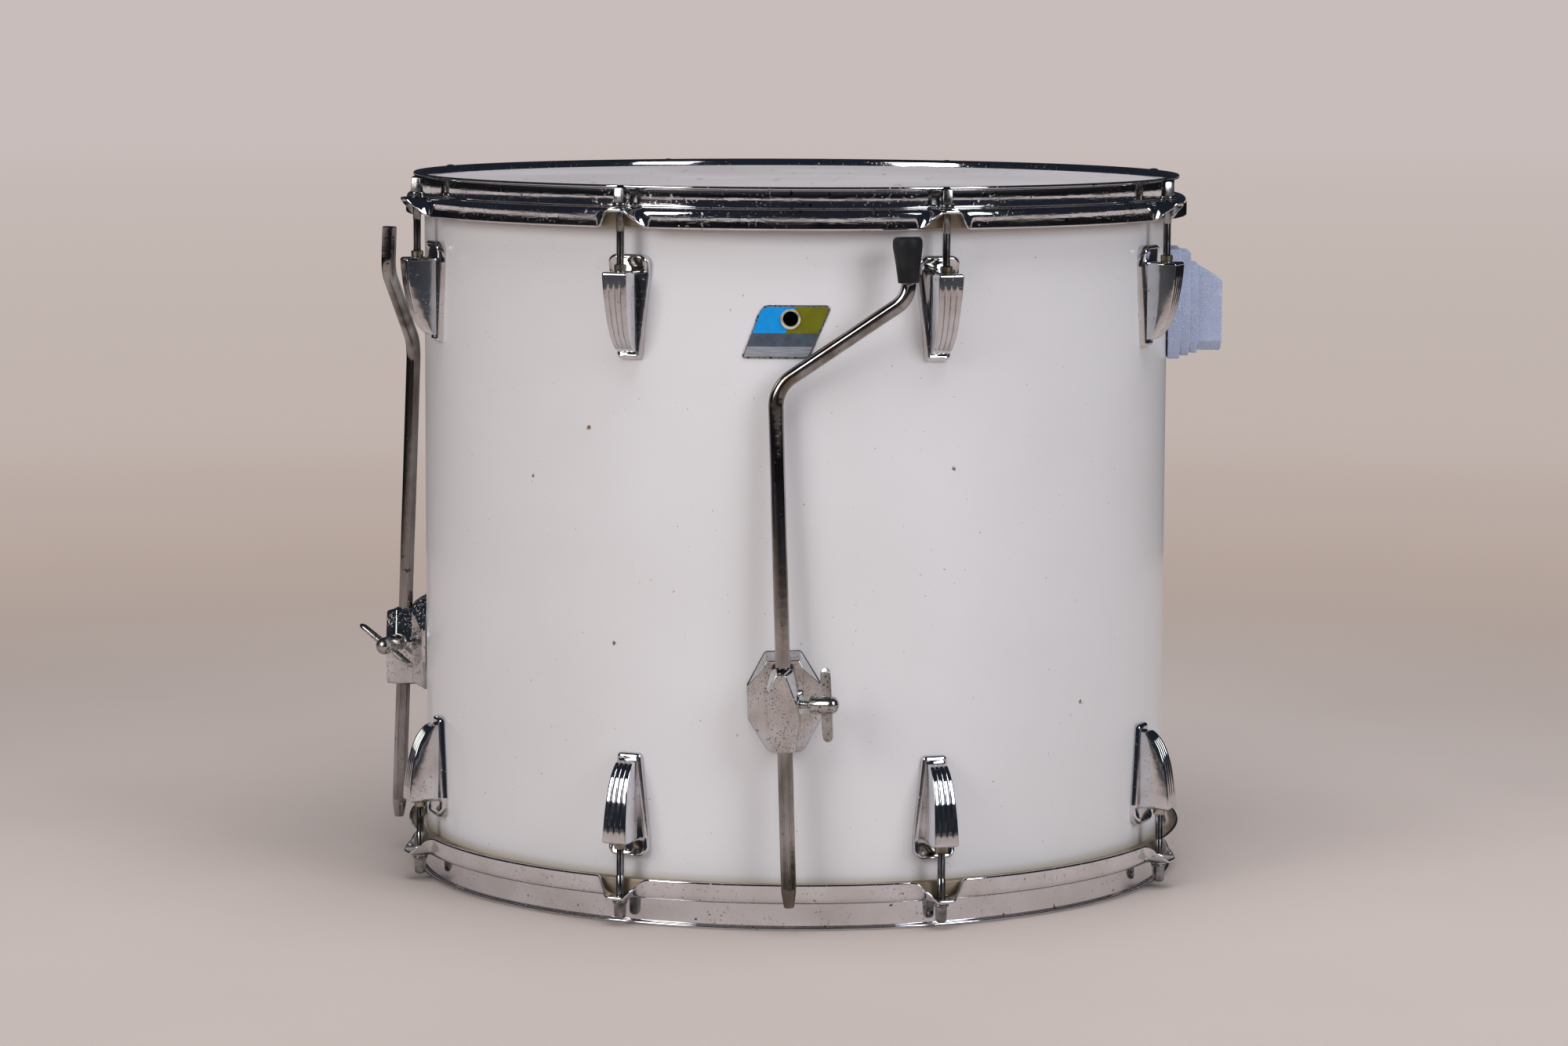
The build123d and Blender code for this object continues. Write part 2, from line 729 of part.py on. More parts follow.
def bolt_plane(angle, tilt, turn):
    """The clamp bolt's frame: z out along the bolt, y along its T-bar."""
    leg = leg_plane(angle, tilt)
    out = (
        leg.x_dir * cos(radians(bolt_angle)) - leg.y_dir * sin(radians(bolt_angle))
    )
    bar = leg.z_dir.rotate(Axis((0, 0, 0), out), turn)
    return Plane(origin=leg.origin, x_dir=bar.cross(out), z_dir=out)


def leg_bracket(angle, tilt):
    """A die-cast bracket: octagonal flange, faceted dome and a bored body."""
    base = radial_plane(shell_radius, 0, bracket_z, tilt)
    leg = leg_plane(0, tilt)
    bolt = bolt_plane(0, tilt, 0)
    flange_outline = octagon(bracket_width, bracket_height, bracket_side_flat, bracket_end_flat)
    dome_outline = octagon(
        bracket_width - dome_inset[0], bracket_height - dome_inset[1], *dome_flats
    )
    body_outline = octagon(bracket_body_width, bracket_body_height, *body_flats)
    with BuildPart() as bracket:
        with BuildSketch(base.offset(-2)):
            with BuildLine():
                Polyline(*flange_outline, close=True)
            make_face()
        extrude(amount=2 + bracket_flange * bracket_edge_share)
        with BuildSketch(base.offset(bracket_flange * bracket_edge_share)):
            with BuildLine():
                Polyline(*flange_outline, close=True)
            make_face()
        with BuildSketch(base.offset(bracket_flange + bracket_dome)):
            with BuildLine():
                Polyline(*dome_outline, close=True)
            make_face()
        loft()
        with BuildSketch(base):
            with BuildLine():
                Polyline(*body_outline, close=True)
            make_face()
        extrude(amount=bracket_reach)
        body_rim = bracket.faces().sort_by(Axis.X)[-1]
        fillet(body_rim.edges(), body_edge_round)
        with BuildSketch(bolt):
            Circle(boss_radius)
        extrude(amount=boss_reach)
        with BuildSketch(bolt):
            Circle(bolt_stud_radius + bolt_bore_clearance)
        extrude(amount=boss_reach + 5, mode=Mode.SUBTRACT)
        with BuildSketch(leg.offset(-bracket_height)):
            Circle(leg_radius + leg_clearance)
        extrude(amount=2 * bracket_height, mode=Mode.SUBTRACT)
        with BuildSketch(Plane.XY.offset(bracket_z - bracket_height)):
            Circle(shell_radius)
        extrude(amount=2 * bracket_height, mode=Mode.SUBTRACT)
        for z, aside in bracket_screws_at:
            with BuildSketch(radial_plane(shell_radius - 2, aside, z)):
                Circle(screw_radius)
            extrude(amount=2 + bracket_screw_depth, mode=Mode.SUBTRACT)
    with BuildPart() as placed:
        with Locations(Location((0, 0, 0), (0, 0, angle))):
            add(bracket.part)
    return placed.part


def clamp_bolt(plane):
    """A T-handled thumb bolt lying along the plane's z axis."""
    with BuildPart() as bolt:
        stud_start = leg_radius + bolt_leg_gap
        with BuildSketch(plane.offset(stud_start)):
            Circle(bolt_stud_radius)
        extrude(amount=bolt_barrel_start - stud_start)
        with BuildSketch(plane.offset(bolt_barrel_start)):
            Circle(bolt_barrel_radius)
        extrude(amount=bolt_barrel_length)
        barrel_end = bolt.faces().sort_by(Axis(plane.origin, plane.z_dir))[-1]
        fillet(barrel_end.edges(), bolt_barrel_radius * bolt_dome_share)
        side = Plane(origin=plane.origin, x_dir=plane.z_dir, z_dir=plane.x_dir)
        with BuildSketch(side.offset(-bolt_bar_thickness / 2)):
            with Locations((bolt_bar_at, 0)):
                RectangleRounded(bolt_bar_width, 2 * bolt_bar_reach, bolt_bar_corner)
        extrude(amount=bolt_bar_thickness)
    return bolt.part


def leg_shank(plane, slide):
    """The leg's straight round rod, with a tapered tip at the bottom."""
    own = plane.offset(slide)
    start = -leg_below_clamp + leg_taper_length
    with BuildPart() as shank:
        with BuildSketch(own.offset(start)):
            Circle(leg_radius)
        extrude(amount=leg_shank_top - start)
        with BuildSketch(own.offset(start)):
            Circle(leg_radius)
        with BuildSketch(own.offset(start - leg_taper_length)):
            Circle(leg_tip_radius)
        loft()
    return shank.part


def leg_crank(plane, slide, turn):
    """The bent upper end of the same rod, from the top of its straight part."""
    own = turned(plane.offset(slide), turn)
    with BuildPart() as crank:
        path_plane = Plane(origin=own.origin, x_dir=own.x_dir, z_dir=-own.y_dir)
        with BuildLine(path_plane) as path:
            FilletPolyline(
                (0, leg_shank_top),
                (0, leg_first_corner),
                (leg_offset, leg_second_corner),
                (leg_offset, leg_top),
                radius=[leg_bend_radius, crank_bend_radius],
            )
        with BuildSketch(own.offset(leg_shank_top)):
            Circle(leg_radius)
        sweep(path=path.wire())
    return crank.part


def rubber_tip(plane, slide, turn):
    """The rubber foot pushed over the crank's end."""
    own = turned(plane.offset(slide), turn)
    top = leg_top + tip_cover
    with BuildPart() as tip:
        tip_plane = Plane(
            origin=own.origin + own.x_dir * leg_offset, x_dir=own.x_dir, z_dir=own.z_dir
        )
        with BuildSketch(tip_plane.offset(top - tip_length)):
            Circle(tip_end_radius)
        with BuildSketch(tip_plane.offset(top - tip_collar)):
            Circle(tip_top_radius)
        loft()
        with BuildSketch(tip_plane.offset(top - tip_collar)):
            Circle(tip_top_radius)
        extrude(amount=tip_collar)
        crown = tip.faces().filter_by(GeomType.PLANE).sort_by(Axis.Z)[-1]
        fillet(crown.edges(), tip_crown)
        with BuildSketch(tip_plane.offset(top - tip_length)):
            Circle(leg_radius)
        extrude(amount=tip_length - tip_cover, mode=Mode.SUBTRACT)
    return tip.part


leg_places = {
    "front": (front_bracket_angle, front_bracket_tilt, 0.0, front_bolt_turn, True),
    "left": (left_bracket_angle, 0.0, left_leg_slide, left_bolt_turn, False),
    "rear": (rear_bracket_angle, 0.0, 0.0, rear_bolt_turn, True),
}
for place, (angle, tilt, slide, bolt_turn, tipped) in leg_places.items():
    frame = leg_plane(angle, tilt)
    save(leg_bracket(angle, tilt), f"{place}_leg_bracket")
    save(clamp_bolt(bolt_plane(angle, tilt, bolt_turn)), f"{place}_clamp_bolt")
    save(leg_shank(frame, slide), f"{place}_leg_shank")
    save(leg_crank(frame, slide, -leg_turn), f"{place}_leg_crank")
    if tipped:
        save(rubber_tip(frame, slide, -leg_turn), f"{place}_rubber_tip")

with BuildPart() as bracket_screws:
    for angle in bracket_angles:
        for z, aside in bracket_screws_at:
            add(radial_screw(shell_radius + bracket_screw_depth, z, angle + aside))
save(bracket_screws.part, "bracket_screws")

with BuildPart() as bracket_screw_washers:
    for angle in bracket_angles:
        for z, aside in bracket_screws_at:
            add(radial_washer(z, angle + aside))
save(bracket_screw_washers.part, "bracket_screw_washers")


# ---------------------------------------------------------------------------
# Tom arm block: four cast steps, bored for the arm, with a clamp bolt behind
# ---------------------------------------------------------------------------
with BuildPart() as block:
    reach = shell_radius
    for thick, half_width, drop, rise in zip(
        block_steps, block_half_widths, block_drops, block_rises
    ):
        inset = 3.0 if reach == shell_radius else 0.0
        low = block_bottom_z + rise
        high = block_bottom_z + block_height - drop
        with BuildSketch(radial_plane(reach - inset)):
            with Locations((0, (low + high) / 2)):
                Rectangle(2 * half_width, high - low)
        extrude(amount=thick + inset)
        reach = reach + thick
    # the outer step slopes down at its top
    with BuildSketch(Plane.XZ):
        top = block_bottom_z + block_height - block_drops[-1]
        with BuildLine():
            Polyline(
                (block_outer - block_steps[-1] + block_slope_start, top),
                (block_outer + 1, top - block_slope_fall),
                (block_outer + 1, top + 1),
                (block_outer - block_steps[-1] + block_slope_start, top + 1),
                close=True,
            )
        make_face()
    extrude(amount=block_half_widths[0], both=True, mode=Mode.SUBTRACT)
    with BuildSketch(Plane.XY.offset(block_bottom_z - 1)):
        Circle(shell_radius)
    extrude(amount=block_height + 2, mode=Mode.SUBTRACT)
    with BuildSketch(Plane.XY.offset(block_bottom_z - 1)):
        with Locations((arm_circle, 0)):
            Circle(arm_bore_radius)
    extrude(amount=block_height + 2, mode=Mode.SUBTRACT)
    bolt_bore = Plane(origin=(arm_circle, 0, block_bolt_z), x_dir=(1, 0, 0), z_dir=(0, 1, 0))
    with BuildSketch(bolt_bore):
        Circle(bolt_stud_radius + bolt_bore_clearance)
    extrude(amount=block_half_widths[0] + 1, mode=Mode.SUBTRACT)
    for z, aside in block_screws_at:
        with BuildSketch(radial_plane(shell_radius - 2, aside, z)):
            Circle(screw_radius)
        extrude(amount=2 + block_screw_depth, mode=Mode.SUBTRACT)
save(block.part, "tom_arm_block")

with BuildPart() as block_bolt:
    stud_start = arm_bore_radius + bolt_leg_gap
    with BuildSketch(bolt_bore.offset(stud_start)):
        Circle(bolt_stud_radius)
    extrude(amount=block_bolt_start - stud_start)
    with BuildSketch(bolt_bore.offset(block_bolt_start)):
        Circle(bolt_barrel_radius)
    extrude(amount=bolt_barrel_length)
    fillet(block_bolt.faces().sort_by(Axis.Y)[-1].edges(), bolt_barrel_radius * bolt_dome_share)
    bar_at = block_bolt_start + bolt_bar_at - bolt_barrel_start
    with BuildSketch(Plane.YZ.offset(arm_circle - bolt_bar_thickness / 2)):
        with Locations((bar_at, block_bolt_z)):
            RectangleRounded(bolt_bar_width, 2 * bolt_bar_reach, bolt_bar_corner)
    extrude(amount=bolt_bar_thickness)
save(block_bolt.part, "tom_arm_clamp_bolt")

with BuildPart() as block_screws:
    for z, aside in block_screws_at:
        add(radial_screw(shell_radius + block_screw_depth, z, aside))
save(block_screws.part, "block_screws")

with BuildPart() as block_screw_washers:
    for z, aside in block_screws_at:
        add(radial_washer(z, aside))
save(block_screw_washers.part, "block_screw_washers")
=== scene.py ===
from math import atan2, cos, hypot, pi, radians, sin, tan

import bmesh
import bpy
import numpy as np
from mathutils import Matrix, Vector


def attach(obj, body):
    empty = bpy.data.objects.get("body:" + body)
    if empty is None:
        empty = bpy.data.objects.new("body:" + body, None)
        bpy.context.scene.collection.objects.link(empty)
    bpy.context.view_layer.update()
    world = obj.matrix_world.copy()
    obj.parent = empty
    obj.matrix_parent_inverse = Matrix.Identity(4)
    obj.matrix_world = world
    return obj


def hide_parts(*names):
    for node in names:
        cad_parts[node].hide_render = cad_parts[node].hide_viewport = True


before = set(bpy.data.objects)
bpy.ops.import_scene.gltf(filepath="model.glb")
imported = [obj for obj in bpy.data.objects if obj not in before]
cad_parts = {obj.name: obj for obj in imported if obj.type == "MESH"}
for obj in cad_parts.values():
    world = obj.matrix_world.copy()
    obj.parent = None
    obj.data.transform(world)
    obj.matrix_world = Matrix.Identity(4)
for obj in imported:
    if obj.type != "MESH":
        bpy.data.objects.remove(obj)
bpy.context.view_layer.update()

# ---------------------------------------------------------------------------
# Camera.  A long lens a little to the right of the drum, looking slightly down
# on it from three metres away.
# ---------------------------------------------------------------------------
def placed(name, data):
    """A new object in the scene."""
    made = bpy.data.objects.new(name, data)
    bpy.context.scene.collection.objects.link(made)
    return made


eye = Vector((0.10073, -3.07229, 0.58356))
heading, pitch, roll = -0.035173, 0.1146, 0.0042
ahead = Vector((sin(heading) * cos(pitch), cos(heading) * cos(pitch), -sin(pitch)))
level = Vector((cos(heading), -sin(heading), 0.0))
upright = level.cross(ahead)
across = level * cos(roll) + upright * sin(roll)
upward = upright * cos(roll) - level * sin(roll)
camera = placed("camera", bpy.data.cameras.new("camera"))
camera.data.lens = 104.05
camera.data.sensor_width = 36.0
camera.matrix_world = Matrix(
    [(across[i], upward[i], -ahead[i], eye[i]) for i in range(3)] + [(0, 0, 0, 1)]
)
bpy.context.scene.camera = camera
bpy.context.scene.view_settings.view_transform = "Standard"


# ---------------------------------------------------------------------------
# Studio.  A pale pinkish paper floor under large soft boxes, in a dark room
# that the bright metal mirrors.
# ---------------------------------------------------------------------------
def display(red, green, blue):
    """A linear colour from the 0-255 values seen on a screen."""
    shares = (c / 255 for c in (red, green, blue))
    return [s / 12.92 if s < 0.04045 else ((s + 0.055) / 1.055) ** 2.4 for s in shares] + [1.0]


def node(tree, kind, inputs=None, **settings):
    """A shader node with its settings, and its inputs as values or as links."""
    made = tree.nodes.new(kind)
    for key, value in settings.items():
        setattr(made, key, value)
    for key, value in (inputs or {}).items():
        if isinstance(value, bpy.types.NodeSocket):
            tree.links.new(value, made.inputs[key])
        else:
            made.inputs[key].default_value = value
    return made


world = bpy.data.worlds.new("studio")
bpy.context.scene.world = world
world.use_nodes = True
room = world.node_tree
room.nodes.clear()
path = node(room, "ShaderNodeLightPath")
seen = node(room, "ShaderNodeBackground", {"Color": display(200, 189, 186), "Strength": 1.0})
dim = node(room, "ShaderNodeBackground", {"Color": display(196, 200, 210), "Strength": 0.38})
dark = node(room, "ShaderNodeBackground", {"Color": display(60, 66, 80), "Strength": 0.35})
mirrored = node(room, "ShaderNodeMixShader",
                {0: path.outputs["Is Glossy Ray"], 1: dim.outputs[0], 2: dark.outputs[0]})
shown = node(room, "ShaderNodeMixShader",
             {0: path.outputs["Is Camera Ray"], 1: mirrored.outputs[0], 2: seen.outputs[0]})
node(room, "ShaderNodeOutputWorld", {"Surface": shown.outputs[0]})


def soft_box(name, place, aim, width, height, watts, tint=(1.0, 1.0, 1.0)):
    """A rectangular studio light that faces a point."""
    light = bpy.data.lights.new(name, "AREA")
    light.shape = "RECTANGLE"
    light.size, light.size_y = width, height
    light.energy = watts
    light.color = tint
    lamp = placed(name, light)
    lamp.location = place
    lamp.rotation_mode = "QUATERNION"
    lamp.rotation_quaternion = (Vector(aim) - Vector(place)).to_track_quat("-Z", "Y")
    return lamp


overhead_box = soft_box("overhead_box", (0.2, -0.5, 2.5), (0, 0, 0.3), 2.2, 1.8, 56)
overhead_box.visible_glossy = False
soft_box("left_box", (-2.1, -2.3, 1.5), (0, 0, 0.25), 1.3, 1.5, 45, (1.0, 0.985, 0.965))
soft_box("right_box", (2.3, -2.1, 1.6), (0, 0, 0.25), 1.2, 1.5, 42, (0.91, 0.955, 1.0))
back_box = soft_box("back_box", (0.0, 3.0, 2.3), (0, 0, 0.2), 2.6, 1.2, 30)
back_box.visible_glossy = False

floor_half = 600.0
mesh = bpy.data.meshes.new("paper_floor")
mesh.from_pydata(
    [(-floor_half, -floor_half, 0), (floor_half, -floor_half, 0), (floor_half, floor_half, 0),
     (-floor_half, floor_half, 0)],
    [], [(0, 1, 2, 3)],
)
floor = placed("paper_floor", mesh)
paper = bpy.data.materials.new("paper")
paper.use_nodes = True
tree = paper.node_tree
tree.nodes.clear()
spot = node(tree, "ShaderNodeTexCoord").outputs["Object"]
away = node(tree, "ShaderNodeVectorMath", {0: spot}, operation="LENGTH").outputs["Value"]
fade = node(tree, "ShaderNodeMapRange", {"Value": away, 1: 0.6, 2: 1.9}, interpolation_type="SMOOTHSTEP")
fleck = node(tree, "ShaderNodeTexNoise", {"Vector": spot, "Scale": 5.0, "Detail": 4.0})
tone = node(
    tree, "ShaderNodeMix",
    {0: fleck.outputs[0], 6: display(170, 159, 154), 7: display(175, 164, 159)}, data_type="RGBA",
)
# Farther out the paper glows by emission instead of taking light, which is painted light: darker near the
# drum as a painted falloff of the light, and pale far away.
painted_falloff_share = node(tree, "ShaderNodeMapRange", {"Value": away, 1: 0.9, 2: 3.2})
farther = node(tree, "ShaderNodeMapRange", {"Value": away, 1: 2.6, 2: 16.0})
behind = node(
    tree, "ShaderNodeMix",
    {0: painted_falloff_share.outputs[0], 6: display(174, 156, 146), 7: display(192, 179, 173)}, data_type="RGBA",
)
beyond = node(
    tree, "ShaderNodeMix",
    {0: farther.outputs[0], 6: behind.outputs[2], 7: display(200, 189, 186)}, data_type="RGBA",
)
lit = node(tree, "ShaderNodeBsdfDiffuse", {"Color": tone.outputs[2]})
pale = node(tree, "ShaderNodeEmission", {"Color": beyond.outputs[2], "Strength": 1.0})
blend = node(tree, "ShaderNodeMixShader", {0: fade.outputs[0], 1: lit.outputs[0], 2: pale.outputs[0]})
node(tree, "ShaderNodeOutputMaterial", {"Surface": blend.outputs[0]})
mesh.materials.append(paper)

# a dark studio floor beyond the paper, for the metal to mirror
paper_edge, room_edge, room_sides = 1.75, 14.0, 48
mesh = bpy.data.meshes.new("studio_floor")
mesh.from_pydata(
    [
        (reach * cos(2 * pi * i / room_sides), reach * sin(2 * pi * i / room_sides), 0.004)
        for i in range(room_sides)
        for reach in (paper_edge, room_edge)
    ],
    [],
    [
        (2 * i, 2 * i + 1, (2 * i + 3) % (2 * room_sides), (2 * i + 2) % (2 * room_sides))
        for i in range(room_sides)
    ],
)
studio_floor = placed("studio_floor", mesh)
black = bpy.data.materials.new("studio_black")
black.use_nodes = True
black.node_tree.nodes["Principled BSDF"].inputs["Base Color"].default_value = display(38, 38, 44)
black.node_tree.nodes["Principled BSDF"].inputs["Roughness"].default_value = 0.9
mesh.materials.append(black)
studio_floor.visible_camera = False
studio_floor.visible_diffuse = False
studio_floor.visible_shadow = False


# ---------------------------------------------------------------------------
# Shell.  A bent-ply cylinder with a glued ring inside each end, and a white
# plastic wrap that is glued round it and laps over itself at the left.
# ---------------------------------------------------------------------------
MM = 0.001
shell_radius = 251.0
wood_radius = 250.5
top_rim, lower_rim = 469.0, 0.0
top_collar, lower_collar = 13.4, 17.3
ends = (("top", top_rim, 1, top_collar), ("bottom", lower_rim, -1, lower_collar))


def finish(name, colour, metallic=0.0, roughness=0.5, coat=0.0, specular=0.5):
    """A material with its node tree, its shader and its coordinates."""
    made = bpy.data.materials.new(name)
    made.use_nodes = True
    shader = made.node_tree.nodes["Principled BSDF"]
    shader.inputs["Base Color"].default_value = display(*colour)
    shader.inputs["Metallic"].default_value = metallic
    shader.inputs["Roughness"].default_value = roughness
    shader.inputs["Coat Weight"].default_value = coat
    shader.inputs["Coat Roughness"].default_value = 0.08
    shader.inputs["Specular IOR Level"].default_value = specular
    place = node(made.node_tree, "ShaderNodeTexCoord").outputs["Object"]
    return made, made.node_tree, shader, place


def noise(tree, place, scale, detail=2.0):
    """Plain noise, as a value round 0.5."""
    inputs = {"Vector": place, "Scale": scale, "Detail": detail}
    return node(tree, "ShaderNodeTexNoise", inputs).outputs[0]


def stepped(tree, value, low, high):
    """A share that is 0 up to low and 1 from high on."""
    return node(tree, "ShaderNodeMapRange", {"Value": value, 1: low, 2: high}).outputs[0]


def cloud(tree, place, scale, low, high, detail=4.0, stretch=None):
    """A patchy mask: noise taken from 0 at low to 1 at high."""
    if stretch:
        place = node(tree, "ShaderNodeMapping", {"Vector": place, "Scale": stretch}).outputs[0]
    return stepped(tree, noise(tree, place, scale, detail), low, high)


def worked(tree, operation, *values):
    """A sum worked out from node values and numbers."""
    return node(tree, "ShaderNodeMath", dict(enumerate(values)), operation=operation).outputs[0]


def mixed(tree, share, first, second):
    """Two colours mixed by a share, each a link or the 0-255 values seen on a screen."""
    first, second = (display(*c) if isinstance(c, tuple) else c for c in (first, second))
    made = node(tree, "ShaderNodeMix", {0: share, 6: first, 7: second}, data_type="RGBA")
    return made.outputs[2]


def tinted(tree, shader, share, first, second):
    """Colour the shader with a mix of two colours."""
    tree.links.new(mixed(tree, share, first, second), shader.inputs["Base Color"])


def relief(tree, shader, height, depth):
    """Small relief, depth in millimetres."""
    bump = node(tree, "ShaderNodeBump", {"Height": height, "Distance": depth * MM, "Strength": 1.0})
    tree.links.new(bump.outputs[0], shader.inputs["Normal"])


def solid(name, shape, place=None):
    """A closed mesh object from points in millimetres and their faces."""
    mesh = bpy.data.meshes.new(name)
    mesh.from_pydata((np.asarray(shape[0], float) * MM).tolist(), [], shape[1])
    if place is not None:
        mesh.transform(place)
    work = bmesh.new()
    work.from_mesh(mesh)
    bmesh.ops.remove_doubles(work, verts=work.verts, dist=1e-6)
    bmesh.ops.recalc_face_normals(work, faces=work.faces)
    work.to_mesh(mesh)
    work.free()
    return placed(name, mesh)


def piece(name, shape, material, replaces, body="drum", place=None, sharp=32.0):
    """A solid of one material that rides on a body and stands for CAD nodes."""
    made = solid(name, shape, place)
    made.data.polygons.foreach_set("use_smooth", [True] * len(made.data.polygons))
    made.data.set_sharp_from_angle(angle=radians(sharp))
    made.data.materials.append(material)
    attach(made, body)
    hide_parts(*replaces)
    return made


def coloured(name, material):
    """Show a CAD node as it is, in a material."""
    shown_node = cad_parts[name]
    shown_node.data.materials.clear()
    shown_node.data.materials.append(material)


def skin(rows, columns, close_rows=False, close_columns=False):
    """The quads of a grid of points, row by row."""
    faces = []
    for r in range(rows if close_rows else rows - 1):
        for c in range(columns if close_columns else columns - 1):
            a, b = r * columns, (r + 1) % rows * columns
            d = (c + 1) % columns
            faces.append((a + c, a + d, b + d, b + c))
    return faces


def capped(rows, count):
    """The faces of a tube of points, row by row, with both ends closed."""
    last = (rows - 1) * count
    ends_closed = [tuple(range(count)), tuple(range(last, last + count))]
    return skin(rows, count, False, True) + ends_closed


def loft(loops):
    """A closed solid through loops of equal length."""
    return [p for loop in loops for p in loop], capped(len(loops), len(loops[0]))


def drilled(piece_made, shape, sharp):
    """Cut a shape away from a piece, and keep the result as its mesh."""
    cutter = solid("drill", shape)
    cut = piece_made.modifiers.new("drilled", "BOOLEAN")
    cut.operation = "DIFFERENCE"
    cut.object = cutter
    cut.solver = "EXACT"
    cut.use_self = True
    bpy.context.view_layer.update()
    graph = bpy.context.evaluated_depsgraph_get()
    result = bpy.data.meshes.new_from_object(piece_made.evaluated_get(graph))
    piece_made.modifiers.clear()
    piece_made.data = result
    bpy.data.objects.remove(cutter)
    result.set_sharp_from_angle(angle=radians(sharp))


def rod_shape(start, end, radius, sides=48):
    """A plain cylinder between two points."""
    start, end = Vector(start), Vector(end)
    turn = (end - start).to_track_quat("Z", "Y").to_matrix()
    ring = [turn @ Vector((radius * cos(2 * pi * i / sides), radius * sin(2 * pi * i / sides), 0))
            for i in range(sides)]
    return loft([[start + p for p in ring], [end + p for p in ring]])


ply, tree, shader, place = finish("maple_ply", (150, 110, 72), roughness=0.6)
layer = node(tree, "ShaderNodeTexWave", {"Vector": place, "Scale": 330.0, "Distortion": 1.5},
             wave_type="RINGS", rings_direction="Z")
grain = cloud(tree, place, 60.0, 0.35, 0.7, 6.0, (1.0, 1.0, 14.0))
wood = mixed(tree, layer.outputs[0], (122, 84, 54), (168, 128, 86))
tinted(tree, shader, grain, wood, (96, 66, 44))
relief(tree, shader, grain, 0.15)
for name in ("shell", "upper_reinforcement_ring", "lower_reinforcement_ring"):
    coloured(name, ply)

wrap_white, tree, shader, place = finish("white_wrap", (216, 214, 217), roughness=0.32, coat=0.25)
axes = node(tree, "ShaderNodeSeparateXYZ", {0: place})
mottle = cloud(tree, place, 7.0, 0.3, 0.75, 3.0)
shade = mixed(tree, mottle, (218, 216, 219), (213, 210, 211))
# Just under the top hoop the wrap turns beige: partly yellowing of the wrap, partly a painted shadow of
# the hoop.
top_yellowing_and_shadow = stepped(tree, axes.outputs[2], 0.4405, 0.4475)
shade = mixed(tree, top_yellowing_and_shadow, shade, (178, 160, 128))
near_foot = stepped(tree, axes.outputs[2], 0.034, 0.026)
shade = mixed(tree, near_foot, shade, (186, 170, 142))
chips = ((-0.1237, -0.2184, 0.3148, 0.0016), (-0.1072, -0.2270, 0.1783, 0.0013),
         (-0.1616, -0.1921, 0.2810, 0.0012), (0.1078, -0.2267, 0.2910, 0.0012),
         (0.1910, -0.1628, 0.1335, 0.0014), (-0.2500, -0.0130, 0.3350, 0.0022))
wobble = noise(tree, place, 900.0)
for x, y, z, size in chips:
    gap = node(tree, "ShaderNodeVectorMath", {0: place, 1: (x, y, z)}, operation="DISTANCE")
    ragged = worked(tree, "MULTIPLY", gap.outputs["Value"], wobble)
    dot = stepped(tree, ragged, 0.55 * size, 0.35 * size)
    shade = mixed(tree, dot, shade, (118, 92, 70))
specks = cloud(tree, place, 420.0, 0.78, 0.8, 1.0)
shade = mixed(tree, specks, shade, (168, 152, 138))
tree.links.new(shade, shader.inputs["Base Color"])
ripple = noise(tree, place, 16.0)
relief(tree, shader, ripple, 0.12)

wrap_low, wrap_high = 10.0, 461.2
vent_angle, vent_z, vent_hole = radians(-88.86), 386.6, 5.4
seam_angle, seam_width, seam_step = radians(182.2), 0.05, 0.35
wrap_steps, wrap_rows = 960, 8
points = []
for i in range(wrap_steps):
    a = 2 * pi * i / wrap_steps
    lap = seam_angle % (2 * pi) - a
    lift = seam_step * max(0.0, 1 - lap / seam_width) if 0 <= lap < seam_width else 0.0
    heights = np.linspace(wrap_low, wrap_high, wrap_rows)
    outer, inner = shell_radius + lift, wood_radius
    loop = [(inner, wrap_low)] + [(outer, z) for z in heights] + [(inner, wrap_high)]
    points += [(r * cos(a), r * sin(a), z) for r, z in loop]
wrap = piece("shell_wrap_sheet", (points, skin(wrap_steps, wrap_rows + 2, True, True)), wrap_white,
             ["shell_wrap"])
out = Vector((cos(vent_angle), sin(vent_angle), 0))
vent = Vector((0, 0, vent_z))
drilled(wrap, rod_shape(vent + out * 235, vent + out * 262, vent_hole), 32.0)


# ---------------------------------------------------------------------------
# Heads.  Each is a plastic film drawn over the bearing edge; the batter head is
# coated white and the lower one is clear-grained, and each is held in a metal ring.
# ---------------------------------------------------------------------------
def dulled(tree, shader, share, low, high):
    """Let the roughness run from low to high with a share."""
    rough = node(tree, "ShaderNodeMapRange", {"Value": share, 3: low, 4: high}).outputs[0]
    tree.links.new(rough, shader.inputs["Roughness"])


def patchy(name, colour, patch, clean, dull, depth, gloss=None, **settings):
    """A material whose colour, gloss and relief follow one patchy mask."""
    made, tree, shader, place = finish(name, colour, **settings)
    mask = cloud(tree, place, *patch)
    tinted(tree, shader, mask, clean, dull)
    if gloss:
        dulled(tree, shader, mask, *gloss)
    relief(tree, shader, mask, depth)
    return made


def turned_ring(profile, steps=360):
    """A closed profile of (radius, height) points turned about the drum's axis."""
    angles = np.arange(steps) * 2 * pi / steps
    points = [(r * cos(a), r * sin(a), z) for a in angles for r, z in profile]
    return points, skin(steps, len(profile), True, True)


def head_profile(edge_z, up, grip_z):
    """The film's section, from the middle out and down to its metal ring."""
    film = 0.3
    outside = [(0.01, edge_z + up * film), (120, edge_z + up * film), (247.5, edge_z + up * film)]
    for k in range(1, 8):
        a = radians(90 * k / 7)
        outside.append((247.5 + 4.1 * sin(a), edge_z + up * (film - 3.0 * (1 - cos(a)))))
    outside += [(251.6, grip_z + up * film), (259.2, grip_z + up * film)]
    inside = [(r - film if 248 < r < 255 else r, z) for r, z in outside]
    inside = [(r, z - up * film * (1 if r < 249 or r > 255 else 0)) for r, z in inside]
    return outside + inside[::-1]


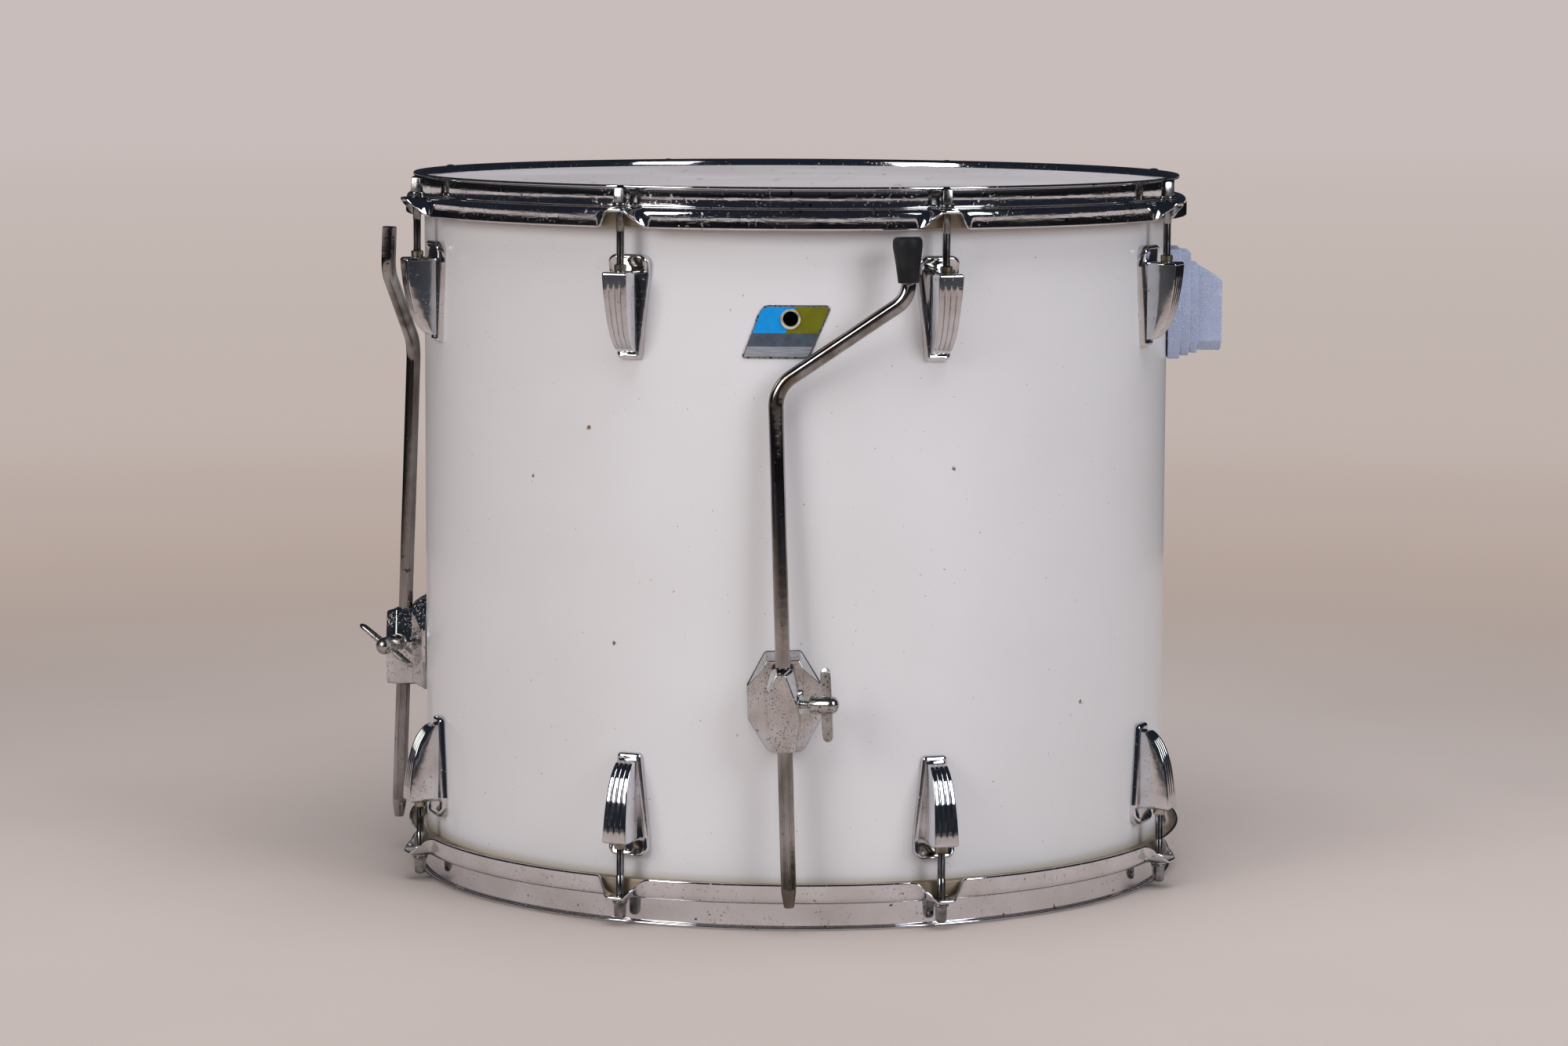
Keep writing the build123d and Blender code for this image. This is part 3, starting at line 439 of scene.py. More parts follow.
coated, tree, shader, place = finish("coated_film", (160, 156, 158), roughness=0.7, specular=0.2)
worn = cloud(tree, place, 9.0, 0.35, 0.72)
shade = mixed(tree, worn, (160, 156, 159), (148, 143, 144))
front = node(tree, "ShaderNodeVectorMath", {0: place, 1: (0.055, -0.232, 0.4645)}, operation="DISTANCE")
close_by = stepped(tree, front.outputs["Value"], 0.075, 0.02)
blotch = cloud(tree, place, 95.0, 0.52, 0.64)
stain = worked(tree, "MULTIPLY", close_by, blotch)
shade = mixed(tree, stain, shade, (120, 88, 64))
scuff = cloud(tree, place, 150.0, 0.66, 0.76, 2.0, (1.0, 0.12, 1.0))
shade = mixed(tree, scuff, shade, (128, 122, 122))
tree.links.new(shade, shader.inputs["Base Color"])
tooth = noise(tree, place, 1400.0)
relief(tree, shader, tooth, 0.06)
top_edge, lower_edge = 464.2, 7.0
ring_inner, ring_outer, ring_drop, ring_tall = 254.5, 261.3, 2.0, 10.6
grip_top = top_rim - top_collar - ring_drop - ring_tall / 2
grip_low = lower_rim + lower_collar + ring_drop + ring_tall / 2
piece("batter_head_film", turned_ring(head_profile(top_edge, 1, grip_top), 480), coated,
      ["batter_head"])

clear_film = patchy("resonant_film", (205, 200, 196), (30.0, 0.4, 0.7),
                    (208, 203, 199), (190, 184, 178), 0.04, roughness=0.35)
piece("resonant_head_film", turned_ring(head_profile(lower_edge, -1, grip_low), 480), clear_film,
      ["resonant_head"])

# The flesh rings are painted a brownish beige, darker than bare aluminium: partly the yellowed film edge
# over them, partly painted shade under the hoops.
shaded_aluminium = patchy("shaded_flesh_hoop_aluminium", (146, 132, 116), (40.0, 0.35, 0.7), (148, 135, 117),
                   (106, 90, 70), 0.05, (0.36, 0.6), metallic=0.55, roughness=0.42)
for head, (end, rim_z, up, collar) in zip(("batter", "resonant"), ends):
    near = rim_z - up * (collar + ring_drop)
    low = near - up * ring_tall
    inner, outer = ring_inner, ring_outer
    section = [(inner + 0.6, near), (outer - 0.6, near), (outer, near - up * 0.6)]
    section += [(outer, low + up * 1.6), (outer - 0.5, low + up * 0.5), (outer - 1.6, low)]
    section += [(inner + 1.6, low), (inner + 0.5, low + up * 0.5), (inner, low + up * 1.6)]
    section.append((inner, near - up * 0.6))
    piece(f"{head}_flesh_ring", turned_ring(section, 480), shaded_aluminium,
          [f"{head}_flesh_hoop"])


# ---------------------------------------------------------------------------
# Hoops.  Pressed steel with three folds, chromed, the skirt drawn up and out
# into a flat ear at each of the eight rods.
# ---------------------------------------------------------------------------
lug_angles = [22.5 + 45.0 * k for k in range(8)]
rod_circle, ear_outer = 266.1, 276.5
sheet, hoop_middle = 2.0, 254.0
rim_fold = 258.0
arch_flat, arch_half = 5.0, 19.0
hoop_steps = 1440


def smooth(t):
    t = min(1.0, max(0.0, t))
    return t * t * (3 - 2 * t)


def hoop_line(collar, lift, trim):
    """The middle line of the sheet, as (drop, radius), where lift is 1 at an ear."""
    line = [(1.0, rim_fold), (1.0, hoop_middle + 1.9)]
    for k in range(1, 6):
        a = radians(90 * k / 5)
        line.append((1.0 + 1.6 * (1 - cos(a)), hoop_middle + 1.9 - 1.9 * sin(a)))
    line += [(collar * 0.5, hoop_middle - 0.12), (collar - 1.0, hoop_middle)]
    for k in range(1, 6):
        a = radians(90 * k / 5)
        line.append((collar - 1.0 + 2.0 * sin(a), hoop_middle + 2.0 * (1 - cos(a))))
    drop, radius = collar + 1.0, 259.6
    line.append((drop, radius))
    fall = radians(86 * (1 - lift) + 2.0 * lift)
    bend = 3.2
    length = 13.2 * (1 - lift) + (ear_outer - 1.0 - radius - trim) * lift
    steps, angle, run = 16, 0.0, 0.0
    for k in range(steps):
        part = length / steps
        run += part
        angle = min(fall, run / bend)
        ease = radians(5.0) * (1 - lift) * smooth(run / length)
        drop += part * sin(angle + ease)
        radius += part * cos(angle + ease)
        line.append((drop, radius))
    return line


def hoop_loop(collar, lift, trim):
    """The closed section of the sheet about its middle line."""
    line = np.array(hoop_line(collar, lift, trim))
    along = np.gradient(line, axis=0)
    along /= np.linalg.norm(along, axis=1)[:, None]
    side = np.stack([along[:, 1], -along[:, 0]], axis=1) * sheet / 2
    one, other = line + side, line - side
    tips = [line[-1] + along[-1] * 0.45 + side[-1] * 0.5, line[-1] + along[-1] * 0.45 - side[-1] * 0.5]
    heads = [line[0] - along[0] * 0.45 - side[0] * 0.5, line[0] - along[0] * 0.45 + side[0] * 0.5]
    return np.vstack([one, tips, other[::-1], heads])


def joined(parts):
    """Several meshes as one list of points and one of faces."""
    points, faces = [], []
    for one_points, one_faces in parts:
        base = len(points)
        points += [tuple(p) for p in one_points]
        faces += [tuple(base + i for i in face) for face in one_faces]
    return points, faces


def turned_copies(shape, angles):
    """Copies of a shape at angles round the drum's axis."""
    points = np.array(shape[0], float)
    copies = []
    for angle in angles:
        c, s = cos(radians(angle)), sin(radians(angle))
        spin = np.array(((c, s, 0), (-s, c, 0), (0, 0, 1)))
        copies.append(((points @ spin).tolist(), shape[1]))
    return joined(copies)


chrome, tree, shader, place = finish("hoop_chrome", (226, 226, 230), 1.0, 0.05)
smear = cloud(tree, place, 30.0, 0.35, 0.75)
salt = cloud(tree, place, 520.0, 0.60, 0.68, 3.0)
patches = cloud(tree, place, 24.0, 0.42, 0.62, 3.0)
spotted = worked(tree, "MULTIPLY", salt, patches)
pits = cloud(tree, place, 300.0, 0.735, 0.76, 1.0)
shade = mixed(tree, smear, (228, 228, 232), (206, 204, 204))
shade = mixed(tree, spotted, shade, (176, 178, 176))
shade = mixed(tree, pits, shade, (96, 84, 72))
tree.links.new(shade, shader.inputs["Base Color"])
gloss = worked(tree, "MULTIPLY", smear, 0.06)
gloss = worked(tree, "MULTIPLY_ADD", spotted, 0.42, gloss)
gloss = worked(tree, "ADD", gloss, 0.035)
tree.links.new(gloss, shader.inputs["Roughness"])
scratch = cloud(tree, place, 190.0, 0.45, 0.55, 1.0, (0.5, 0.5, 3.0))
ding = noise(tree, place, 34.0, 1.0)
height = worked(tree, "MULTIPLY_ADD", scratch, 0.04, ding)
relief(tree, shader, height, 0.09)

ear_hole = 3.2
rod_drill = turned_copies(
    rod_shape((rod_circle, 0, lower_rim - 2.0), (rod_circle, 0, top_rim + 5.0), ear_hole, 32), lug_angles
)
for end, rim_z, up, collar in ends:
    points = []
    for i in range(hoop_steps):
        a = 360.0 * i / hoop_steps
        off = (a - 22.5 + 22.5) % 45.0 - 22.5
        arc = abs(radians(off)) * rod_circle
        lift = smooth((arch_half - arc) / (arch_half - arch_flat))
        trim = max(0.0, arc - 4.0) ** 2 / 9.0
        loop = hoop_loop(collar, lift, min(trim, 6.0))
        ca, sa = cos(radians(a)), sin(radians(a))
        points += [(r * ca, r * sa, rim_z - up * d) for d, r in loop]
    hoop = piece(f"{end}_hoop_pressing", (points, skin(hoop_steps, len(loop), True, True)), chrome,
                 [f"{end}_hoop"], sharp=50.0)
    drilled(hoop, rod_drill, 50.0)


# ---------------------------------------------------------------------------
# Lugs.  Eight die-cast lugs at each end, chromed: a bevelled base plate, and a
# box for the swivel nut whose ribbed front curves back to the plate.
# ---------------------------------------------------------------------------
def outline(corners, radii, inset=0.0, steps=5):
    """A convex outline with rounded corners, drawn in by an inset."""
    count = len(corners)
    area = sum(
        corners[i][0] * corners[(i + 1) % count][1] - corners[(i + 1) % count][0] * corners[i][1]
        for i in range(count)
    )
    sign = 1 if area > 0 else -1
    lines = []
    for i in range(count):
        (x0, y0), (x1, y1) = corners[i], corners[(i + 1) % count]
        length = hypot(x1 - x0, y1 - y0)
        nx, ny = -(y1 - y0) / length * sign, (x1 - x0) / length * sign
        lines.append((x0 + nx * inset, y0 + ny * inset, (x1 - x0) / length, (y1 - y0) / length))
    loop = []
    for i in range(count):
        x0, y0, dx0, dy0 = lines[i - 1]
        x1, y1, dx1, dy1 = lines[i]
        cross = dx0 * dy1 - dy0 * dx1
        t = ((x1 - x0) * dy1 - (y1 - y0) * dx1) / cross
        corner = Vector((x0 + dx0 * t, y0 + dy0 * t))
        turn = atan2(cross, dx0 * dx1 + dy0 * dy1)
        radius = max(radii[i] - inset, 0.3)
        back = radius * tan(abs(turn) / 2)
        start = corner - Vector((dx0, dy0)) * back
        normal = Vector((-dy0, dx0)) * (1 if turn > 0 else -1)
        centre = start + normal * radius
        for k in range(steps + 1):
            spin = Matrix.Rotation(turn * k / steps, 2)
            loop.append(centre + spin @ (start - centre))
    return [tuple(p) for p in loop]


lug_mouth, box_end = 53.6, 104.4
front_line = np.array([(53.6, 275.7), (62.0, 275.2), (70.5, 274.2), (80.4, 272.4), (88.5, 270.2),
                       (95.0, 267.6), (100.0, 264.2), (103.0, 261.3), (104.4, 259.0)])
rib_count, rib_depth, plain_band = 4, 1.05, 11.0
rib_steps = (0.0, 0.05, 0.11, 0.2, 0.35, 0.5, 0.65, 0.8, 0.89, 0.95)


def lug_box():
    """The lug's box as (drop, radius, side) rows, from its mouth to its end."""
    reach = np.concatenate([[0], np.cumsum(np.hypot(*np.diff(front_line, axis=0).T))])
    places = np.linspace(0, reach[-1], 44)
    drops, fronts = (np.interp(places, reach, front_line[:, k]) for k in (0, 1))
    for _ in range(3):
        fronts[1:-1] = (fronts[:-2] + 2 * fronts[1:-1] + fronts[2:]) / 4
    slope = np.gradient(fronts, drops)
    rows = []
    shares = [q + f for q in range(rib_count) for f in rib_steps] + [float(rib_count)]
    entries = [(0.0, 1.5), (0.35, 0.75), (0.9, 0.25)]
    for k, (drop, front) in enumerate(zip(drops, fronts)):
        entries.append((drop - lug_mouth + (1.6 if k == 0 else 0.0), None))
    for index, (run, inset) in enumerate(entries):
        inset = inset or 0.0
        drop = lug_mouth + run
        if index > 3 and drop < lug_mouth + 1.8:
            continue
        front = float(np.interp(drop, drops, fronts)) - inset * 0.9
        lean = -float(np.interp(drop, drops, slope))
        wide = np.interp(drop, (lug_mouth, box_end), (17.2, 12.4)) / 2 - inset * 0.7
        fade_in = smooth((drop - lug_mouth - plain_band * 0.55) / plain_band)
        row = []
        for q in shares:
            share = abs(2 * (q % 1.0) - 1) ** 7
            inner = 0.3 < q < rib_count - 0.3
            depth = rib_depth * share * (fade_in if inner else 0.8)
            size = hypot(1.0, lean)
            row.append((drop - depth * lean / size, front - depth / size, (q / rib_count * 2 - 1) * wide))
        back = 253.4
        middle = (front + back) / 2
        row += [(drop, middle, wide), (drop, back, wide), (drop, back, 0.0), (drop, back, -wide),
                (drop, middle, -wide)]
        rows.append(row)
    return loft(rows)


def lug_plate():
    """The base plate as loops from the wrap up to its flat, its hoop end a raised hood."""
    corners = [(-14.0, 42.7), (14.0, 42.7), (14.0, 56.0), (8.1, 109.4), (-8.1, 109.4), (-14.0, 56.0)]
    radii = (6.5, 6.5, 14.0, 3.0, 3.0, 14.0)
    loops = []
    levels = ((0.0, None), (0.0, 252.7), (0.35, 253.8), (1.1, 254.7), (2.1, 255.0), (2.9, 254.6))
    for inset, radius in levels:
        loop = []
        for side, drop in outline(corners, radii, inset, 7):
            hood = smooth((52.5 - drop) / 7.0) * 2.2
            back = (shell_radius ** 2 - side ** 2) ** 0.5 - 0.3
            if radius is not None:
                back = radius + hood * (0.35 if radius < 253 else 1.0)
            loop.append((drop, back, side))
        loops.append(loop)
    return loft(loops)


cast_chrome, tree, shader, place = finish("cast_chrome", (222, 223, 228), 1.0, 0.07)
smear = cloud(tree, place, 60.0, 0.35, 0.75)
pits = cloud(tree, place, 620.0, 0.66, 0.72, 2.0)
zone = cloud(tree, place, 42.0, 0.44, 0.6)
pitted = worked(tree, "MULTIPLY", pits, zone)
shade = mixed(tree, smear, (224, 225, 230), (204, 203, 204))
tinted(tree, shader, pitted, shade, (92, 84, 78))
gloss = worked(tree, "MULTIPLY_ADD", smear, 0.07, 0.05)
gloss = worked(tree, "MULTIPLY_ADD", pitted, 0.5, gloss)
tree.links.new(gloss, shader.inputs["Roughness"])
flow = noise(tree, place, 90.0)
height = worked(tree, "MULTIPLY_ADD", pitted, -0.5, flow)
relief(tree, shader, height, 0.07)

lug_points, lug_faces = joined([lug_box(), lug_plate()])
for end, rim_z, up, collar in ends:
    points = [(r, s, rim_z - up * d) for d, r, s in lug_points]
    piece(f"{end}_lug_castings", turned_copies((points, lug_faces), lug_angles), cast_chrome,
          [f"{end}_lugs"], sharp=38.0)


# ---------------------------------------------------------------------------
# Swivel nuts and rod washers.  Plated brass nuts stand out of the lugs' mouths,
# and a steel washer lies on each ear under the rod's flange.
# ---------------------------------------------------------------------------
brass = patchy("nut_brass", (176, 168, 150), (130.0, 0.4, 0.66), (184, 178, 166),
               (120, 108, 86), 0.04, (0.18, 0.42), metallic=1.0, roughness=0.24)

bolt_steel = patchy("fastener_steel", (178, 178, 180), (160.0, 0.4, 0.66), (190, 190, 194),
                    (124, 118, 110), 0.03, (0.14, 0.4), metallic=1.0, roughness=0.2)


def tube(profile, steps=40):
    """A closed ring profile of (radius, height) points turned about z."""
    points = [(r * cos(2 * pi * i / steps), r * sin(2 * pi * i / steps), z)
              for r, z in profile for i in range(steps)]
    return points, skin(len(profile), steps, True, True)


def lathe(profile, steps=40):
    """An open profile, from axis to axis, turned about z."""
    return tube(profile, steps)[0], capped(len(profile), steps)


def shifted(shape, x, y, z):
    return [(px + x, py + y, pz + z) for px, py, pz in shape[0]], shape[1]


rod_hole, nut_out, nut_run = 2.8, 4.5, 19.5
for end, rim_z, up, collar in ends:
    mouth = rim_z - up * lug_mouth
    section = [(rod_hole, nut_out - 0.5), (rod_hole + 0.5, nut_out), (3.5, nut_out), (4.0, nut_out - 0.5)]
    section += [(4.0, 1.2), (3.75, 0.9), (3.75, 0.4), (4.0, 0.1), (4.0, -nut_run), (rod_hole, -nut_run)]
    nut = tube([(r, up * h) for r, h in section])
    nuts = turned_copies(shifted(nut, rod_circle, 0, mouth), lug_angles)
    piece(f"{end}_nuts", nuts, brass, [f"{end}_swivel_nuts"])
    section = [(3.2, 0.0), (5.15, 0.0), (5.4, 0.25), (5.4, 0.9)]
    section += [(5.05, 1.17), (3.5, 1.17), (3.2, 0.95)]
    washer = tube([(r, up * h) for r, h in section])
    washers = turned_copies(shifted(washer, rod_circle, 0, rim_z - up * collar), lug_angles)
    piece(f"{end}_washers", washers, bolt_steel, [f"{end}_rod_washers"])

for name in ("lug_screws", "lug_screw_washers", "bracket_screws", "bracket_screw_washers",
             "block_screws", "block_screw_washers"):
    coloured(name, bolt_steel)


# ---------------------------------------------------------------------------
# Tension rods.  Steel 12-24 rods with a square key head and a flange, threaded
# up to a short plain neck; sixteen of them, each free to turn.
# ---------------------------------------------------------------------------
rod_steel = patchy("rod_steel", (150, 146, 140), (120.0, 0.38, 0.66), (166, 166, 168),
                   (98, 92, 86), 0.03, (0.1, 0.3), metallic=1.0, roughness=0.22)

rod_radius, root_radius, thread_pitch, neck = 2.75, 2.2, 1.0583, 13.0
thread_sides = 24
rod_turns = (11, 38, 72, 20, 55, 5, 83, 47)
rod_run, flange_rise = 85.6, 1.2


def threaded(low, high, radius, root, pitch):
    """A screw thread between two heights, its crest and root as helical rows."""
    rows = int((high - low) / pitch * 4) + 9
    points = []
    for m in range(rows):
        reach = (radius, (radius + root) / 2, root, (radius + root) / 2)[m % 4]
        for k in range(thread_sides):
            z = low + pitch * (m / 4 + k / thread_sides - 1)
            a = 2 * pi * k / thread_sides
            held = min(high, max(low, z))
            points.append((reach * cos(a), reach * sin(a), held))
    faces = skin(rows, thread_sides, False, False)
    for m in range(rows - 4):
        a, b = m * thread_sides + thread_sides - 1, (m + 4) * thread_sides
        faces.append((a, b, b + thread_sides, a + thread_sides))
    return points, faces


def key_head(base, up):
    """The square head with its rounded crown, standing on the flange."""
    loops = []
    for height, half, corner in ((-0.6, 3.2, 0.5), (0.0, 3.2, 0.5), (8.4, 3.02, 0.55), (9.2, 2.85, 0.8),
                                 (9.9, 2.4, 1.1), (10.3, 1.6, 1.2), (10.4, 0.7, 0.6)):
        corners = [(-half, -half), (half, -half), (half, half), (-half, half)]
        loops.append([(x, y, base + up * height) for x, y in outline(corners, [corner] * 4, 0.0, 4)])
    return loft(loops)


for end, rim_z, up, collar in ends:
    tip, ear_face = rim_z - up * rod_run, rim_z - up * collar
    thread_end = ear_face - up * (sheet + neck)
    flange = ear_face + up * flange_rise
    low, high = sorted((tip, thread_end))
    thread = threaded(low, high, rod_radius, root_radius, thread_pitch)
    shank = [(2.15, thread_end - up * 0.8), (rod_radius - 0.1, thread_end), (rod_radius - 0.1, flange)]
    shank += [(4.6, flange), (4.9, flange + up * 0.35), (4.9, flange + up * 1.2)]
    shank += [(4.4, flange + up * 1.75), (3.0, flange + up * 1.8)]
    core = lathe([(1.5, tip + up * 0.2), (2.2, tip + up * 0.6), (2.2, thread_end - up * 0.5)], 24)
    rod = joined([thread, core, lathe(shank), key_head(flange + up * 1.8, up)])
    for index, (angle, own_turn) in enumerate(zip(lug_angles, rod_turns)):
        spin = Matrix.Rotation(radians(angle + own_turn), 4, "Z")
        seat = Matrix.Translation(
            (rod_circle * cos(radians(angle)) * MM, rod_circle * sin(radians(angle)) * MM, 0)
        )
        name = f"tension_rod_{end}_{index + 1}"
        piece(f"{name}_threaded", rod, rod_steel, [name], name, seat @ spin, 60.0)


# ---------------------------------------------------------------------------
# Badge.  Stamped metal curved to the shell, its sunk fields filled with enamel,
# held by a rolled brass eyelet that is also the drum's vent.
# ---------------------------------------------------------------------------
bare_metal = patchy("badge_metal", (176, 178, 184), (500.0, 0.5, 0.62), (186, 188, 192),
                    (70, 72, 80), 0.05, metallic=1.0, roughness=0.3)
satin = patchy("badge_satin", (166, 169, 178), (300.0, 0.35, 0.7, 3.0, (0.25, 0.25, 6.0)),
               (176, 179, 187), (140, 142, 152), 0.02, metallic=0.45, roughness=0.42)
enamels = []
for name, pale_tone, deep_tone in (
    ("badge_blue", (0, 146, 222), (0, 132, 206)),
    ("badge_olive", (112, 112, 16), (98, 98, 12)),
    ("badge_dark_band", (78, 88, 100), (60, 68, 80)),
):
    enamels.append(patchy(name, pale_tone, (200.0, 0.3, 0.75), pale_tone, deep_tone, 0.02,
                          roughness=0.3, coat=0.4))

badge_angle, badge_z = radians(-89.5), 378.6
badge_low, badge_high = -16.8, 16.8
badge_corners = [(-28.3, badge_low), (14.5, badge_low), (29.0, badge_high), (-15.5, badge_high)]
badge_outline = outline(badge_corners, (2.0, 5.5, 2.6, 7.5), 0.0, 12)
eye_u, eye_v, eye_radius = 3.1 - 0.2, 386.6 - badge_z, 5.7
badge_rows, badge_columns = 84, 104


def edges_at(v):
    """The left and right ends of the badge's outline at a height."""
    hits = []
    for i, (x0, y0) in enumerate(badge_outline):
        x1, y1 = badge_outline[i - 1]
        if (y0 - v) * (y1 - v) <= 0 and y0 != y1:
            hits.append(x0 + (x1 - x0) * (v - y0) / (y1 - y0))
    return min(hits), max(hits)


def from_edge(u, v):
    """The distance from a point to the badge's outline."""
    best = 99.0
    for i, (x0, y0) in enumerate(badge_outline):
        x1, y1 = badge_outline[i - 1]
        t = ((u - x0) * (x1 - x0) + (v - y0) * (y1 - y0)) / max(1e-9, (x1 - x0) ** 2 + (y1 - y0) ** 2)
        t = min(1.0, max(0.0, t))
        best = min(best, hypot(u - x0 - t * (x1 - x0), v - y0 - t * (y1 - y0)))
    return best


points, flat = [], []
for j in range(badge_rows + 1):
    v = badge_low + 0.01 + (badge_high - badge_low - 0.02) * j / badge_rows
    left, right = edges_at(v)
    for i in range(badge_columns + 1):
        u = left + (right - left) * i / badge_columns
        flat.append((u, v))
        margin = from_edge(u, v)
        height = 0.62 + 0.1 * smooth((1.25 - margin) / 0.35) - 0.2 * smooth((0.3 - margin) / 0.3)
        a = badge_angle + u / shell_radius
        reach = shell_radius + height
        points.append((reach * cos(a), reach * sin(a), badge_z + v))
faces, kinds = [], []
for face in skin(badge_rows + 1, badge_columns + 1):
    u, v = (sum(flat[i][k] for i in face) / 4 for k in (0, 1))
    if hypot(u - eye_u, v - eye_v) < eye_radius:
        continue
    faces.append(face)
    split = eye_u + 0.38 * (v - eye_v)
    if from_edge(u, v) < 1.1:
        kinds.append(0)
    elif v > -0.9:
        kinds.append(2 if u < split else 3)
    else:
        kinds.append(4 if v > -9.0 else 1)
mesh = bpy.data.meshes.new("badge_plate")
mesh.from_pydata((np.array(points) * MM).tolist(), [], faces)
for one in [bare_metal, satin, *enamels]:
    mesh.materials.append(one)
mesh.polygons.foreach_set("material_index", kinds)
mesh.polygons.foreach_set("use_smooth", [True] * len(kinds))
badge = placed("badge_plate", mesh)
work = bmesh.new()
work.from_mesh(mesh)
bmesh.ops.delete(work, geom=[v for v in work.verts if not v.link_faces], context="VERTS")
work.to_mesh(mesh)
work.free()
thickness = badge.modifiers.new("plate_thickness", "SOLIDIFY")
thickness.thickness = 0.5 * MM
thickness.offset = -1.0
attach(badge, "drum")
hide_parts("badge")

eyelet_brass = patchy("grommet_brass", (224, 218, 204), (200.0, 0.4, 0.7), (222, 216, 202),
                      (150, 136, 108), 0.03, metallic=0.35, roughness=0.3)
rolled = [(5.4, -8.0), (5.4, 0.5), (6.0, 0.55), (6.35, 0.85), (6.4, 1.15), (6.2, 1.45), (5.75, 1.55),
          (5.2, 1.4), (4.9, 1.0), (4.8, 0.4), (4.8, -8.0)]
turn = Vector((cos(vent_angle), sin(vent_angle), 0)).to_track_quat("Z", "Y").to_matrix().to_4x4()
centre = Matrix.Translation(
    (shell_radius * cos(vent_angle) * MM, shell_radius * sin(vent_angle) * MM, vent_z * MM)
)
piece("vent_eyelet", tube(rolled, 64), eyelet_brass, ["vent_grommet"],
      place=centre @ turn)


# ---------------------------------------------------------------------------
# Leg brackets.  Die-cast and chromed: a bevelled octagonal flange, a faceted
# dome and a bored body that carries the leg, pitted by age.
# ---------------------------------------------------------------------------
leg_places = {
    "front": (-89.5, 1.8, 0.0, 2.3, True),
    "left": (180.0, 0.0, 6.5, 57.0, False),
    "rear": (45.0, 0.0, 0.0, 20.0, True),
}
leg_circle, bracket_z, leg_splay, leg_radius = 267.8, 146.3, 2.1, 4.76
leg_play, bolt_slant = 0.35, radians(19.0)


def axes_frame(x, y, z, origin):
    """A placing matrix in metres from three directions and an origin in millimetres."""
    return Matrix([(x[i], y[i], z[i], origin[i] * MM) for i in range(3)] + [(0, 0, 0, 1)])


def leg_frame(angle, tilt):
    """The leg's own frame: z up the leg, x round the shell, y towards it."""
    z = Vector((-tan(radians(leg_splay)), -tan(radians(tilt)), 1)).normalized()
    x = Vector((0, 1, 0))
    x = (x - x.dot(z) * z).normalized()
    spin = Matrix.Rotation(radians(angle), 3, "Z")
    origin = spin @ Vector((leg_circle, 0, bracket_z))
    return spin @ x, spin @ z.cross(x), spin @ z, origin


def octagon(width, tall, side_flat, end_flat):
    w, t, s, e = width / 2, tall / 2, side_flat / 2, end_flat / 2
    return [(-e, -t), (e, -t), (w, -s), (w, s), (e, t), (-e, t), (-w, s), (-w, -s)]


def radial_loft(levels, steps):
    """A solid through outlines of (side, height), each at its own radius."""
    loops = []
    for radius, corners, round_by in levels:
        loop = outline(corners, [round_by] * len(corners), 0.0, steps)
        loops.append([(radius, side, up) for side, up in loop])
    return loft(loops)


def rounded(piece_made, width, segments, angle):
    """Soften a casting's edges."""
    bevel = piece_made.modifiers.new("softened_edges", "BEVEL")
    bevel.width = width * MM
    bevel.segments = segments
    bevel.limit_method = "ANGLE"
    bevel.angle_limit = radians(angle)
    bevel.harden_normals = True
    return piece_made


def even_shading(piece_made):
    """Flat faces shade flat and only the rounded edges between them turn."""
    even = piece_made.modifiers.new("even_shading", "WEIGHTED_NORMAL")
    even.keep_sharp = True
    even.weight = 100


pitted_chrome, tree, shader, place = finish("pitted_chrome", (216, 216, 220), 1.0, 0.09)
pits = cloud(tree, place, 820.0, 0.6, 0.66, 2.0)
zone = cloud(tree, place, 60.0, 0.38, 0.62)
pitted = worked(tree, "MULTIPLY", pits, zone)
smear = cloud(tree, place, 70.0, 0.35, 0.75)
shade = mixed(tree, smear, (218, 218, 222), (196, 193, 190))
tinted(tree, shader, pitted, shade, (82, 74, 68))
gloss = worked(tree, "MULTIPLY_ADD", smear, 0.1, 0.07)
gloss = worked(tree, "MULTIPLY_ADD", pitted, 0.5, gloss)
tree.links.new(gloss, shader.inputs["Roughness"])
flow = noise(tree, place, 110.0)
height = worked(tree, "MULTIPLY_ADD", pitted, -0.6, flow)
relief(tree, shader, height, 0.1)

